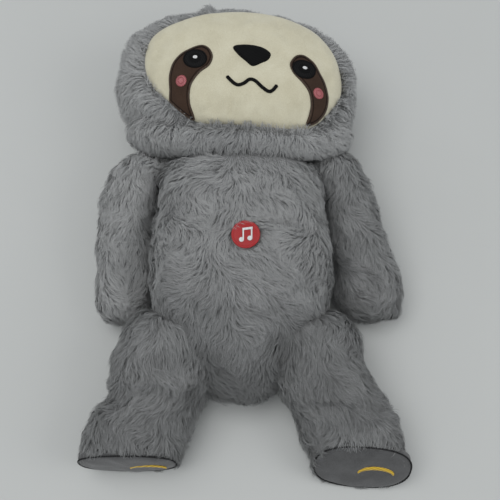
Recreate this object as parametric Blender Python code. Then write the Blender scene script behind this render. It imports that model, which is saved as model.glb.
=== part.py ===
"""A stuffed plush sloth lying on its back, with a press-to-play music button.

Metres, +Z up. +Y points to the head, -Y to the feet, +Z out of the tummy.
The origin lies on the flat of the back, under the middle of the tummy.
"""
import math

import bpy
import bmesh
from mathutils import Matrix, Vector

# Clearances
REST_CUT = 0.0005
SEAM_GAP = 0.0003
JOINT_GAP = 0.0008
SHELL_GAP = 0.0005
OVERRUN = 0.003

# Torso: a stuffed bag whose upper end is a barrel that the head turns on
TORSO_HALF_WIDTH = 0.066
TORSO_DEPTH = 0.096
TORSO_LENGTH = 0.160
TORSO_WALL = 0.0024
NECK_Y = 0.048
NECK_Z = 0.048
NECK_RADIUS = 0.044
NECK_HALF_WIDTH = 0.062
# Rows: place from neck axis to seat, half width, underside, front, roundness power
TORSO_SHARES = (
    (0.16, 0.965, 0.008, 0.985, 2.35),
    (0.33, 1.000, -0.018, 1.000, 2.60),
    (0.48, 1.000, -0.020, 0.985, 2.60),
    (0.60, 0.960, -0.018, 0.925, 2.50),
    (0.69, 0.850, 0.005, 0.840, 2.40),
    (0.78, 0.680, 0.030, 0.730, 2.30),
    (0.87, 0.470, 0.075, 0.600, 2.20),
    (0.94, 0.290, 0.140, 0.490, 2.10),
    (0.985, 0.150, 0.210, 0.390, 2.00),
)
TORSO_SEAT_HEIGHT_SHARE = 0.29

# Head: a broad cushion, turned a little in plan as it lies
HEAD_HALF_WIDTH = 0.092
HEAD_HALF_HEIGHT = 0.057
HEAD_HALF_DEPTH = 0.050
HEAD_X = -0.003
HEAD_Y = 0.134
HEAD_TURN = math.radians(-7.0)
HEAD_PLAN_POWER = 2.6
HEAD_SIDE_POWER = 2.2

# Arms
SHOULDER_X = 0.073
SHOULDER_Y = 0.058
SHOULDER_Z = 0.046
SHOULDER_RADIUS = 0.021
ARM_LENGTH = 0.110
PAW_HALF_WIDTH = 0.0235
PAW_HALF_DEPTH = 0.0210
ARM_BULGE_SHARE = 1.20
ARM_BALL_END_SHARE = 0.35
ARM_SPLAY_LEFT = math.radians(3.0)
ARM_SPLAY_RIGHT = math.radians(7.0)
# Rows: place along the arm, outward shift, height above the paw, half width, half depth, bulge
ARM_SHARES = (
    (0.15, 0.060, 0.94, 0.77, 0.90, 1.25),
    (0.34, 0.100, 0.72, 0.84, 0.94, 1.18),
    (0.55, 0.130, 0.34, 0.93, 0.98, 1.06),
    (0.75, 0.145, 0.00, 1.00, 1.00, 1.00),
    (0.89, 0.145, -0.05, 0.91, 0.90, 1.00),
    (0.97, 0.145, -0.09, 0.60, 0.58, 1.00),
)

# Legs
HIP_X = 0.050
HIP_Y = -0.072
HIP_Z = 0.044
HIP_RADIUS = 0.033
LEG_LENGTH = 0.082
FOOT_HALF_WIDTH = 0.040
FOOT_HALF_DEPTH = 0.029
LEG_BULGE_SHARE = 1.28
LEG_BALL_END_SHARE = 0.25
LEG_SPREAD_LEFT = 0.032
LEG_SPREAD_RIGHT = 0.045
TOE_TURN_LEFT = math.radians(0.0)
TOE_TURN_RIGHT = math.radians(-4.0)
SOLE_TILT_LEFT = math.radians(12.0)
SOLE_TILT_RIGHT = math.radians(34.0)
# Rows: place along the leg, share of the spread, height above the foot, half width, half depth, tilt,
# bulge
LEG_SHARES = (
    (0.22, 0.29, 0.82, 0.760, 0.88, 0.0, 1.30),
    (0.42, 0.44, 0.55, 0.870, 0.97, 0.1, 1.20),
    (0.64, 0.68, 0.26, 0.930, 0.98, 0.4, 1.08),
    (0.84, 0.92, 0.06, 0.975, 0.98, 0.8, 1.00),
    (0.96, 1.00, 0.00, 0.965, 0.96, 1.0, 1.00),
    (1.00, 1.00, 0.00, 0.920, 0.90, 1.0, 1.00),
)
FOOT_POWER = 2.5
SOLE_THICKNESS = 0.0015
SOLE_SHARE = 0.93
EMBLEM_HALF_WIDTH = 0.014
EMBLEM_HALF_HEIGHT = 0.009
EMBLEM_THICKNESS = 0.0008
EMBLEM_SHIFT_LEFT = -0.015
EMBLEM_SHIFT_RIGHT = 0.010
CRESCENT_SHARE = 0.72
CRESCENT_DROP_SHARE = 0.45

# Face: thin pieces laid over the front of the head. Spots are measured from its middle, and they
# and the large sizes are shares of the head's half width and half height
FABRIC = 0.0012
FACE_SIZE_SHARES = (0.8152, 0.8333)
FACE_SPOT_SHARES = (0.0652, -0.0175)
# Rows: outline of the face, across and up from its middle
FACE_SHARES = (
    (-1.00, 0.02), (-0.94, 0.42), (-0.70, 0.67), (-0.38, 0.86), (0.02, 0.99), (0.38, 0.97),
    (0.68, 0.77), (0.90, 0.42), (1.00, -0.06), (0.93, -0.40), (0.74, -0.78), (0.42, -0.91),
    (0.00, -0.95), (-0.38, -0.98), (-0.68, -0.73), (-0.91, -0.42),
)
PATCH_THICKNESS = 0.0009
PATCH_SIZE_SHARES = (0.1685, 0.4561)
PATCH_LEFT_SPOT_SHARES = (-0.3587, -0.3421)
PATCH_LEFT_HUB_SHARES = (-0.35, -0.20)
PATCH_RIGHT_SPOT_SHARES = (0.6033, -0.2281)
PATCH_RIGHT_HUB_SHARES = (0.30, -0.20)
PATCH_LEFT_SHARES = (
    (0.25, 1.02), (0.80, 0.86), (1.04, 0.55), (0.78, 0.25), (0.40, 0.00), (0.16, -0.32),
    (0.24, -0.74), (0.48, -1.00), (0.00, -0.90), (-0.60, -0.72), (-0.95, -0.30), (-0.98, 0.12),
    (-0.78, 0.56),
)
PATCH_RIGHT_SHARES = (
    (-0.50, 1.00), (-0.98, 0.72), (-1.06, 0.38), (-0.67, 0.10), (-0.16, -0.16), (0.13, -0.52),
    (0.15, -0.98), (0.58, -0.83), (0.92, -0.50), (0.99, -0.08), (0.78, 0.34), (0.36, 0.70),
    (-0.08, 0.97),
)
EYE_HALF_WIDTH = 0.0080
EYE_HALF_HEIGHT = 0.0070
EYE_THICKNESS = 0.0007
EYE_DOME = 0.0009
EYE_LEFT_SPOT_SHARES = (-0.3380, -0.0825)
EYE_RIGHT_SPOT_SHARES = (0.5370, -0.0211)
GLINT_THICKNESS = 0.0004
GLINT_RADIUS = 0.0021
GLINT_SHIFT = 0.0018
GLINT_SHARE = 0.75
GLINT_RISE_SHARE = 0.5
CHEEK_THICKNESS = 0.0006
CHEEK_RADIUS = 0.0037
CHEEK_LEFT_SPOT_SHARES = (-0.4087, -0.4000)
CHEEK_RIGHT_SPOT_SHARES = (0.6761, -0.3000)
NOSE_HALF_WIDTH = 0.0143
NOSE_HALF_HEIGHT = 0.0086
NOSE_THICKNESS = 0.0008
NOSE_DOME = 0.0022
NOSE_SPOT_SHARES = (0.1174, 0.0351)
NOSE_SHARES = (
    (-1.01, 0.53), (-0.82, 0.77), (-0.15, 0.97), (0.48, 0.84), (0.93, 0.46), (0.81, -0.28),
    (0.48, -0.71), (0.15, -1.03), (-0.24, -0.60), (-0.70, -0.03),
)
MOUTH_SIZE_SHARES = (0.1957, 0.0561)
MOUTH_SPOT_SHARES = (0.1511, -0.3614)
MOUTH_THREAD_RADIUS = 0.0008
# Rows: the mouth line, a double curve that dips on both sides of its middle
MOUTH_SHARES = (
    (-1.00, 1.00), (-0.73, -0.19), (-0.52, -0.53), (-0.29, 0.00), (-0.10, 0.94), (0.14, 0.78),
    (0.45, -0.45), (0.70, -1.05), (0.86, -0.65), (1.00, 0.55),
)

# Music button on the tummy
BUTTON_X = 0.004
BUTTON_Y = -0.001
BUTTON_TRAVEL = 0.0020
BUTTON_PROUD = 0.0006
MUSIC_PATCH_RADIUS = 0.0100
MUSIC_PATCH_THICKNESS = 0.0018
MUSIC_PATCH_BEVEL = 0.0004
BUTTON_HOLE_GAP = 0.0006
NOTE_THICKNESS = 0.0005
NOTE_HEAD_RADIUS = 0.0017
NOTE_STEM_WIDTH = 0.0010
NOTE_HEIGHT = 0.0082
NOTE_SPACING = 0.0058
NOTE_BEAM = 0.0016
NOTE_BEAM_RISE = 0.0010
NOTE_BEAM_OVERHANG_SHARE = 1.12
NOTE_START_SHARE = 0.37

# Sound module behind the button, a round two-part case
CASE_RADIUS = 0.0245
CASE_WALL = 0.0016
CASE_SINK_SHARE = 0.5
CASE_FRONT_HEIGHT = 0.0125
CASE_REAR_HEIGHT = 0.0135
CAP_RADIUS = 0.0078
CAP_FLANGE_RADIUS = 0.0096
CAP_FLANGE_THICKNESS = 0.0012
CAP_STEM_RADIUS = 0.0016
CAP_HOLE_GAP = 0.0004
CAP_PROUD = 0.0062
BOSS_RADIUS = 0.0026
BOSS_PLACE = 0.0212
SCREW_RADIUS = 0.0010
SCREW_HEAD_RADIUS = 0.0019
SCREW_HEAD_DEPTH = 0.0010
SCREW_LENGTH = 0.0140
SCREW_GAP = 0.0001
POST_RADIUS = 0.0016
POST_PLACE = 0.0135
BOARD_RADIUS = 0.0165
BOARD_THICKNESS = 0.0012
SWITCH_WIDTH = 0.0060
SWITCH_HEIGHT = 0.0030
SPRING_LENGTH = 0.0060
SPRING_RADIUS = 0.0056
SPRING_WIRE_RADIUS = 0.0003
SPRING_TURNS = 4
SPEAKER_RADIUS = 0.0130
SPEAKER_HEIGHT = 0.0060
SPEAKER_RIM = 0.0014
SPEAKER_MAGNET_SHARE = 0.6
SPEAKER_X = -0.0090
GRILLE_HOLE_RADIUS = 0.0011
GRILLE_PITCH = 0.0060
CELL_RADIUS = 0.0058
CELL_LENGTH = 0.0052
CELL_COUNT = 3
CELL_X = 0.0135
CELL_GAP = 0.0003
CONTACT_THICKNESS = 0.0005
CONTACT_WIDTH = 0.0070
CONTACT_HEIGHT = 0.0085
DOOR_LENGTH = 0.0190
DOOR_WIDTH = 0.0130
CAVITY_GAP = 0.0006

# Back seam opening with its hook-and-loop closure
SLIT_LENGTH = 0.050
SLIT_WIDTH = 0.009
SLIT_Y = -0.040
SLIT_REACH_SHARE = 3.0
STRIP_THICKNESS = 0.0013
STRIP_RISE = 0.0005

# Mesh fineness: counts, not lengths
AROUND_TORSO = 28
AROUND_HEAD = 40
AROUND_LIMB = 18
AROUND_LEG = 24
AROUND_INNER = 16
AROUND_SOCKET = 24
ROUND_SIDES = 24
SMALL_SIDES = 12
GRILLE_SIDES = 8
BOSS_SIDES = 16
CELL_SIDES = 20
THREAD_SIDES = 6
SPRING_SIDES = 4
SPRING_STEPS = 9
COVER_NECK_RINGS = 6
INNER_NECK_RINGS = 4
COVER_STEPS = 2
INNER_STEPS = 1
LIMB_STEPS = 2
ARM_BALL_RINGS = 6
LEG_BALL_RINGS = 7
FACE_POINTS = 48
FACE_RINGS = 7
PATCH_POINTS = 26
PATCH_RINGS = 3
EYE_POINTS = 20
EYE_RINGS = 3
GLINT_POINTS = 12
CHEEK_POINTS = 16
CHEEK_RINGS = 2
NOSE_POINTS = 30
NOSE_RINGS = 3
MOUTH_STEPS = 3
EMBLEM_POINTS = 10
SLOT_END_POINTS = 6
NOTE_HEAD_POINTS = 12


def clear_scene():
    """Remove every object that the scene starts with."""
    for thing in list(bpy.data.objects):
        bpy.data.objects.remove(thing, do_unlink=True)


def material(name, color, roughness, metallic=0.0):
    """One Principled material of a plain colour."""
    made = bpy.data.materials.new(name)
    made.use_nodes = True
    shader = made.node_tree.nodes["Principled BSDF"]
    shader.inputs["Base Color"].default_value = (*color, 1.0)
    shader.inputs["Roughness"].default_value = roughness
    shader.inputs["Metallic"].default_value = metallic
    return made


def add_object(name, shape, finish, smooth=True):
    """Turn a bmesh into a named object with its own material."""
    bmesh.ops.recalc_face_normals(shape, faces=shape.faces)
    mesh = bpy.data.meshes.new(name)
    shape.to_mesh(mesh)
    shape.free()
    if smooth:
        mesh.shade_smooth()
        mesh.set_sharp_from_angle(angle=math.radians(40.0))
    made = bpy.data.objects.new(name, mesh)
    bpy.context.scene.collection.objects.link(made)
    made.data.materials.append(finish)
    return made


def as_cutter(thing):
    """Mark an object as a cutter that isn't part of the model."""
    thing.hide_render = True
    thing.display_type = "WIRE"
    return thing


def cut(target, *cutters):
    """Cut each cutter out of the target with the exact solver."""
    for cutter in cutters:
        step = target.modifiers.new("cut_" + cutter.name, "BOOLEAN")
        step.operation = "DIFFERENCE"
        step.solver = "EXACT"
        step.object = cutter


def join(target, *others):
    """Join each other shape to the target with the exact solver."""
    for other in others:
        step = target.modifiers.new("join_" + other.name, "BOOLEAN")
        step.operation = "UNION"
        step.solver = "EXACT"
        step.object = as_cutter(other)


def pivot_empty(name, place):
    """An empty on a joint's axis that carries a moving piece."""
    empty = bpy.data.objects.new(name, None)
    empty.location = place
    bpy.context.scene.collection.objects.link(empty)
    return empty


def carry(empty, *pieces):
    """Parent pieces to an empty and leave them where they are."""
    for piece in pieces:
        piece.parent = empty
        piece.matrix_parent_inverse = Matrix.Translation(-empty.location)


def spline_rows(rows, steps):
    """Rows of values along a smooth curve through the given rows."""
    found = []
    last = len(rows) - 1
    for index in range(last):
        before = rows[max(index - 1, 0)]
        start = rows[index]
        end = rows[index + 1]
        after = rows[min(index + 2, last)]
        for step in range(steps):
            t = step / steps
            row = []
            for p0, p1, p2, p3 in zip(before, start, end, after):
                slope_in = (p2 - p0) / 2
                slope_out = (p3 - p1) / 2
                rise = p2 - p1
                row.append(p1 + slope_in * t + (3 * rise - 2 * slope_in - slope_out) * t * t
                           + (slope_in + slope_out - 2 * rise) * t * t * t)
            found.append(row)
    found.append(list(rows[last]))
    return found


def closed_curve(points, count):
    """Points evenly numbered along a smooth closed curve through an outline's points."""
    steps = count // len(points)
    total = len(points)
    found = []
    for index in range(total):
        p0, p1, p2, p3 = (Vector(points[(index + shift) % total]) for shift in (-1, 0, 1, 2))
        for step in range(steps):
            t = step / steps
            found.append(p1 + (p2 - p0) / 2 * t
                         + ((p2 - p1) * 3 - (p2 - p0) - (p3 - p1) / 2) * t * t
                         + ((p2 - p0) / 2 + (p3 - p1) / 2 - (p2 - p1) * 2) * t * t * t)
    return found


def rounded(angle, power):
    """A point of a unit superellipse."""
    c = math.cos(angle)
    s = math.sin(angle)
    exponent = 2.0 / power
    return (math.copysign(abs(c) ** exponent, c), math.copysign(abs(s) ** exponent, s))


def ring(middle, half_width, half_depth, power, sides, tilt=0.0, bulge=1.0):
    """One closed cross-section across Y, leaned back by the tilt, fuller on its +X side."""
    points = []
    for index in range(sides):
        across, up = rounded(2 * math.pi * index / sides, power)
        if across > 0:
            across *= 1.0 + (bulge - 1.0) * across ** 2
        height = up * half_depth
        points.append(Vector((middle[0] + across * half_width,
                              middle[1] + height * math.sin(tilt),
                              middle[2] + height * math.cos(tilt))))
    return points


def loft(rings, first_tip=None, last_tip=None):
    """Skin a row of rings and close each end on a tip or with a flat face."""
    shape = bmesh.new()
    rows = [[shape.verts.new(point) for point in points] for points in rings]
    for low, high in zip(rows, rows[1:]):
        for index in range(len(low)):
            after = (index + 1) % len(low)
            shape.faces.new((low[index], low[after], high[after], high[index]))
    for row, tip in ((rows[0], first_tip), (rows[-1], last_tip)):
        if tip is None:
            shape.faces.new(row)
            continue
        point = shape.verts.new(tip)
        for index in range(len(row)):
            shape.faces.new((row[index], row[(index + 1) % len(row)], point))
    return shape


def press_flat(shape, level=0.0):
    """Flatten what reaches below the level that it lies on into one flat face."""
    for point in shape.verts:
        point.co.z = max(point.co.z, level)
    low = min(point.co.z for point in shape.verts)
    flat = [face for face in shape.faces if max(point.co.z for point in face.verts) == low]
    if flat:
        bmesh.ops.dissolve_faces(shape, faces=flat)


def place(shape, matrix):
    """Move a shape by a matrix."""
    bmesh.ops.transform(shape, matrix=matrix, verts=shape.verts)


def cylinder(radius, low, high, x=0.0, y=0.0, sides=ROUND_SIDES):
    """An upright cylinder between two heights."""
    shape = bmesh.new()
    bmesh.ops.create_cone(shape, cap_ends=True, segments=sides, radius1=radius, radius2=radius,
                          depth=high - low)
    place(shape, Matrix.Translation((x, y, (low + high) / 2)))
    return shape


def block(length, width, low, high, x=0.0, y=0.0):
    """A box between two heights, length along Y and width along X."""
    shape = bmesh.new()
    bmesh.ops.create_cube(shape, size=1.0)
    place(shape, Matrix.Translation((x, y, (low + high) / 2))
          @ Matrix.Diagonal((width, length, high - low, 1.0)))
    return shape


def ball(center, radius, half_width=None, sides=AROUND_SOCKET):
    """A sphere, or a barrel of revolution about X when a half width is given."""
    shape = bmesh.new()
    bmesh.ops.create_uvsphere(shape, u_segments=sides, v_segments=sides // 2, radius=1.0)
    wide = radius if half_width is None else half_width
    place(shape, Matrix.Translation(center) @ Matrix.Diagonal((radius, radius, wide, 1.0)))
    if half_width is not None:
        turn = Matrix.Rotation(math.radians(90.0), 4, "Y")
        place(shape, Matrix.Translation(center) @ turn @ Matrix.Translation(-Vector(center)))
    return shape


def head_matrix():
    """From the head's own frame, middle at zero, to the toy's frame."""
    return (Matrix.Translation((HEAD_X, HEAD_Y, HEAD_HALF_DEPTH - REST_CUT))
            @ Matrix.Rotation(HEAD_TURN, 4, "Z"))


def head_shape():
    """The stuffed head, broad and squarish in plan and round from the side."""
    rings = []
    count = AROUND_HEAD // 2
    exponent = 2.0 / HEAD_PLAN_POWER
    for index in range(1, count):
        angle = math.pi * index / count
        v = math.copysign(abs(math.cos(angle)) ** exponent, math.cos(angle)) * HEAD_HALF_HEIGHT
        share = math.sin(angle) ** exponent
        rings.append(ring((0, v, 0), HEAD_HALF_WIDTH * share, HEAD_HALF_DEPTH * share,
                          HEAD_SIDE_POWER, AROUND_HEAD))
    shape = loft(rings, (0, HEAD_HALF_HEIGHT, 0), (0, -HEAD_HALF_HEIGHT, 0))
    place(shape, head_matrix())
    press_flat(shape)
    return shape


def face_point(u, v, lift):
    """A point over the front of the head, lifted along the surface normal."""
    s = HEAD_SIDE_POWER
    p = HEAD_PLAN_POWER
    across = abs(u / HEAD_HALF_WIDTH)
    upward = abs(v / HEAD_HALF_HEIGHT)
    q = (1.0 - upward ** p) ** (s / p)
    deep = (q - across ** s) ** (1.0 / s)
    slope = q ** (p / s - 1.0)
    normal = Vector((math.copysign(slope * across ** (s - 1.0), u) / HEAD_HALF_WIDTH,
                     math.copysign(upward ** (p - 1.0), v) / HEAD_HALF_HEIGHT,
                     slope * deep ** (s - 1.0) / HEAD_HALF_DEPTH))
    return Vector((u, v, deep * HEAD_HALF_DEPTH)) + normal.normalized() * lift


def face_piece(outline, middle, low, thickness, dome, rings):
    """A thin closed piece that follows the front of the head inside an outline."""
    shape = bmesh.new()
    sheets = []
    for side in (0, 1):
        sheet = []
        for index in range(rings, 0, -1):
            share = index / rings
            lift = low + side * (thickness + dome * (1.0 - share * share))
            sheet.append([shape.verts.new(face_point(middle[0] + (u - middle[0]) * share,
                                                     middle[1] + (v - middle[1]) * share, lift))
                          for u, v in outline])
        for outer, inner in zip(sheet, sheet[1:]):
            for index in range(len(outer)):
                after = (index + 1) % len(outer)
                shape.faces.new((outer[index], outer[after], inner[after], inner[index]))
        tip = shape.verts.new(face_point(*middle, low + side * (thickness + dome)))
        last = sheet[-1]
        for index in range(len(last)):
            shape.faces.new((last[index], last[(index + 1) % len(last)], tip))
        sheets.append(sheet[0])
    under, over = sheets
    for index in range(len(under)):
        after = (index + 1) % len(under)
        shape.faces.new((under[index], under[after], over[after], over[index]))
    place(shape, head_matrix())
    return shape


def on_head(shares):
    """A pair of shares of the head's half width and half height, in metres."""
    return (shares[0] * HEAD_HALF_WIDTH, shares[1] * HEAD_HALF_HEIGHT)


def scaled_outline(shares, spot, size, count):
    """An outline's shares as points over the face."""
    points = [(spot[0] + across * size[0], spot[1] + up * size[1]) for across, up in shares]
    return [(point.x, point.y) for point in closed_curve(points, count)]


def oval(u, v, half_width, half_height, count):
    """An oval outline over the face."""
    return [(u + half_width * math.cos(2 * math.pi * index / count),
             v + half_height * math.sin(2 * math.pi * index / count)) for index in range(count)]


def tube(path, radius, sides):
    """A closed tube along a path of points, with flat ends."""
    rings = []
    for index, point in enumerate(path):
        along = (path[min(index + 1, len(path) - 1)] - path[max(index - 1, 0)]).normalized()
        across = along.cross(Vector((0, 0, 1))).normalized()
        up = across.cross(along)
        rings.append([point + (across * math.cos(2 * math.pi * step / sides)
                               + up * math.sin(2 * math.pi * step / sides)) * radius
                      for step in range(sides)])
    return loft(rings)


def torso_shape(inset, sides, steps, neck_rings):
    """The stuffed torso drawn in by an inset: a barrel above the neck axis, a bag below it."""
    neck = NECK_RADIUS - inset
    neck_wide = NECK_HALF_WIDTH - inset
    rings = []
    for index in range(1, neck_rings):
        angle = math.pi / 2 * (1 - index / neck_rings)
        rings.append(ring((0, NECK_Y + neck * math.sin(angle), NECK_Z),
                          neck_wide * math.cos(angle), neck * math.cos(angle), 2.0, sides))
    first = (0.0, NECK_HALF_WIDTH / TORSO_HALF_WIDTH, (NECK_Z - NECK_RADIUS) / TORSO_DEPTH,
             (NECK_Z + NECK_RADIUS) / TORSO_DEPTH, 2.0)
    length = TORSO_LENGTH - inset
    for along, wide, low, high, power in spline_rows((first,) + TORSO_SHARES, steps):
        bottom = low * TORSO_DEPTH + inset
        top = high * TORSO_DEPTH - inset
        rings.append(ring((0, NECK_Y - along * length, (bottom + top) / 2),
                          wide * TORSO_HALF_WIDTH - inset, (top - bottom) / 2, power, sides))
    shape = loft(rings, (0, NECK_Y + neck, NECK_Z),
                 (0, NECK_Y - length, TORSO_SEAT_HEIGHT_SHARE * TORSO_DEPTH))
    press_flat(shape, inset)
    quads = [face for face in shape.faces if len(face.verts) == 4]
    bmesh.ops.triangulate(shape, faces=quads, quad_method="FIXED")
    return shape


def limb_ball_rings(radius, height, sides, end_share, count, bulge):
    """The rounded joint end of a limb, from its upper pole to a share of the radius past it.

    Its inner side is a true ball, its outer side swells toward the limb.
    """
    rings = []
    low = math.acos(-end_share)
    for index in range(1, count + 1):
        angle = low * index / count
        swell = 1.0 + (bulge - 1.0) * index / count
        rings.append(ring((0, radius * math.cos(angle), height),
                          radius * math.sin(angle), radius * math.sin(angle), 2.0, sides,
                          bulge=swell))
    return rings


def limb_matrix(side, x, y, splay):
    """Place a limb drawn for the right side, with its pivot at X and Y of zero."""
    return (Matrix.Translation((side * x, y, 0)) @ Matrix.Diagonal((side, 1.0, 1.0, 1.0))
            @ Matrix.Rotation(splay, 4, "Z"))


def arm_shape(side, splay):
    """One stuffed arm: a round shoulder, a bend outward and a soft paw."""
    rings = limb_ball_rings(SHOULDER_RADIUS, SHOULDER_Z, AROUND_LIMB, ARM_BALL_END_SHARE,
                            ARM_BALL_RINGS, ARM_BULGE_SHARE)
    low = PAW_HALF_DEPTH - REST_CUT
    for along, out, rise, wide, deep, bulge in spline_rows(ARM_SHARES, LIMB_STEPS):
        rings.append(ring((out * ARM_LENGTH, -along * ARM_LENGTH, low + rise * (SHOULDER_Z - low)),
                          wide * PAW_HALF_WIDTH, deep * PAW_HALF_DEPTH, 2.0, AROUND_LIMB,
                          bulge=bulge))
    shape = loft(rings, (0, SHOULDER_RADIUS, SHOULDER_Z),
                 (ARM_SHARES[-1][1] * ARM_LENGTH, -ARM_LENGTH, low))
    place(shape, limb_matrix(side, SHOULDER_X, SHOULDER_Y, splay))
    press_flat(shape)
    return shape


def foot_height(tilt):
    """Height of the middle of a foot that stands on its heel, leaned back by a tilt."""
    return LEG_SHARES[-2][4] * FOOT_HALF_DEPTH * math.cos(tilt) - REST_CUT


def leg_shape(side, spread, turn, tilt):
    """One stuffed leg: a round hip, a plump thigh and a foot with a flat sole."""
    rings = limb_ball_rings(HIP_RADIUS, HIP_Z, AROUND_LEG, LEG_BALL_END_SHARE,
                            LEG_BALL_RINGS, LEG_BULGE_SHARE)
    low = foot_height(tilt)
    for along, out, rise, wide, deep, lean, bulge in spline_rows(LEG_SHARES, LIMB_STEPS):
        power = 2.0 + (FOOT_POWER - 2.0) * along
        rings.append(ring((out * spread, -along * LEG_LENGTH, low + rise * (HIP_Z - low)),
                          wide * FOOT_HALF_WIDTH, deep * FOOT_HALF_DEPTH, power, AROUND_LEG,
                          lean * tilt, bulge))
    shape = loft(rings, (0, HIP_RADIUS, HIP_Z))
    place(shape, limb_matrix(side, HIP_X, HIP_Y, turn))
    press_flat(shape)
    return shape


def sole_frame(side, spread, turn, tilt):
    """The middle and turn of a foot's flat end."""
    last = LEG_SHARES[-1]
    spot = Matrix.Translation((last[1] * spread, -last[0] * LEG_LENGTH, foot_height(tilt)))
    return limb_matrix(side, HIP_X, HIP_Y, turn) @ spot @ Matrix.Rotation(-tilt, 4, "X")


def sole_shape(frame):
    """The sole panel, laid on the flat end of the foot."""
    last = LEG_SHARES[-1]
    rings = []
    for depth in (SEAM_GAP, SEAM_GAP + SOLE_THICKNESS):
        rings.append(ring((0, -depth, 0), last[3] * FOOT_HALF_WIDTH * SOLE_SHARE,
                          last[4] * FOOT_HALF_DEPTH * SOLE_SHARE, FOOT_POWER, AROUND_LEG))
    shape = loft(rings)
    place(shape, frame)
    press_flat(shape)
    return shape


def emblem_shape(frame, shift):
    """A plain embroidered crescent on the sole, set to one side by a shift."""
    points = []
    for index in range(EMBLEM_POINTS + 1):
        angle = math.pi * index / EMBLEM_POINTS
        points.append((math.cos(angle), math.sin(angle)))
    for index in range(1, EMBLEM_POINTS):
        angle = math.pi * (1 - index / EMBLEM_POINTS)
        points.append((math.cos(angle) * CRESCENT_SHARE, math.sin(angle) * CRESCENT_SHARE ** 2))
    start = SEAM_GAP * 2 + SOLE_THICKNESS
    rings = []
    for depth in (start, start + EMBLEM_THICKNESS):
        rings.append([Vector((across * EMBLEM_HALF_WIDTH + shift, -depth,
                              (up - CRESCENT_DROP_SHARE) * EMBLEM_HALF_HEIGHT))
                      for across, up in points])
    shape = loft(rings)
    place(shape, frame)
    return shape


def make_face(cream, brown, black, white, pink):
    """The face: a cream panel, eye patches, eyes, cheeks, nose and mouth."""
    on_panel = SHELL_GAP * 2 + FABRIC
    on_patch = on_panel + PATCH_THICKNESS + SHELL_GAP
    on_eye = on_patch + EYE_THICKNESS + EYE_DOME + SHELL_GAP
    spot = on_head(FACE_SPOT_SHARES)
    outline = scaled_outline(FACE_SHARES, spot, on_head(FACE_SIZE_SHARES), FACE_POINTS)
    shape = face_piece(outline, spot, SHELL_GAP, FABRIC, 0, FACE_RINGS)
    made = [add_object("face_panel", shape, cream)]
    size = on_head(PATCH_SIZE_SHARES)
    for word, shares, hub, spot, eye, cheek in (
            ("left", PATCH_LEFT_SHARES, PATCH_LEFT_HUB_SHARES, on_head(PATCH_LEFT_SPOT_SHARES),
             on_head(EYE_LEFT_SPOT_SHARES), on_head(CHEEK_LEFT_SPOT_SHARES)),
            ("right", PATCH_RIGHT_SHARES, PATCH_RIGHT_HUB_SHARES, on_head(PATCH_RIGHT_SPOT_SHARES),
             on_head(EYE_RIGHT_SPOT_SHARES), on_head(CHEEK_RIGHT_SPOT_SHARES))):
        outline = scaled_outline(shares, spot, size, PATCH_POINTS)
        middle = (spot[0] + hub[0] * size[0], spot[1] + hub[1] * size[1])
        shape = face_piece(outline, middle, on_panel, PATCH_THICKNESS, 0, PATCH_RINGS)
        made.append(add_object("eye_patch_" + word, shape, brown))
        outline = oval(*eye, EYE_HALF_WIDTH, EYE_HALF_HEIGHT, EYE_POINTS)
        shape = face_piece(outline, eye, on_patch, EYE_THICKNESS, EYE_DOME, EYE_RINGS)
        made.append(add_object("eye_" + word, shape, black))
        spot = (eye[0] + GLINT_SHIFT, eye[1] + GLINT_SHIFT * GLINT_RISE_SHARE)
        outline = oval(*spot, GLINT_RADIUS, GLINT_RADIUS * GLINT_SHARE, GLINT_POINTS)
        shape = face_piece(outline, spot, on_eye, GLINT_THICKNESS, 0, 1)
        made.append(add_object("eye_glint_" + word, shape, white))
        outline = oval(*cheek, CHEEK_RADIUS, CHEEK_RADIUS, CHEEK_POINTS)
        shape = face_piece(outline, cheek, on_patch, CHEEK_THICKNESS, 0, CHEEK_RINGS)
        made.append(add_object("cheek_" + word, shape, pink))
    spot = on_head(NOSE_SPOT_SHARES)
    outline = scaled_outline(NOSE_SHARES, spot, (NOSE_HALF_WIDTH, NOSE_HALF_HEIGHT), NOSE_POINTS)
    shape = face_piece(outline, spot, on_panel, NOSE_THICKNESS, NOSE_DOME, NOSE_RINGS)
    made.append(add_object("nose", shape, black))
    spot = on_head(MOUTH_SPOT_SHARES)
    size = on_head(MOUTH_SIZE_SHARES)
    path = []
    for across, up in spline_rows(MOUTH_SHARES, MOUTH_STEPS):
        path.append(head_matrix() @ face_point(spot[0] + across * size[0],
                                               spot[1] + up * size[1],
                                               on_panel + MOUTH_THREAD_RADIUS))
    shape = tube(path, MOUTH_THREAD_RADIUS, THREAD_SIDES)
    made.append(add_object("mouth_stitching", shape, black))
    return made


def stadium(length, width, low, high, x, y):
    """An upright slot with round ends, its length along Y."""
    radius = width / 2
    half = length / 2 - radius
    outline = []
    for index in range(SLOT_END_POINTS + 1):
        angle = math.pi * index / SLOT_END_POINTS
        outline.append((x + radius * math.cos(angle), y + half + radius * math.sin(angle)))
    for index in range(SLOT_END_POINTS + 1):
        angle = math.pi * (1 + index / SLOT_END_POINTS)
        outline.append((x + radius * math.cos(angle), y - half + radius * math.sin(angle)))
    return loft([[Vector((px, py, height)) for px, py in outline] for height in (low, high)])


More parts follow.
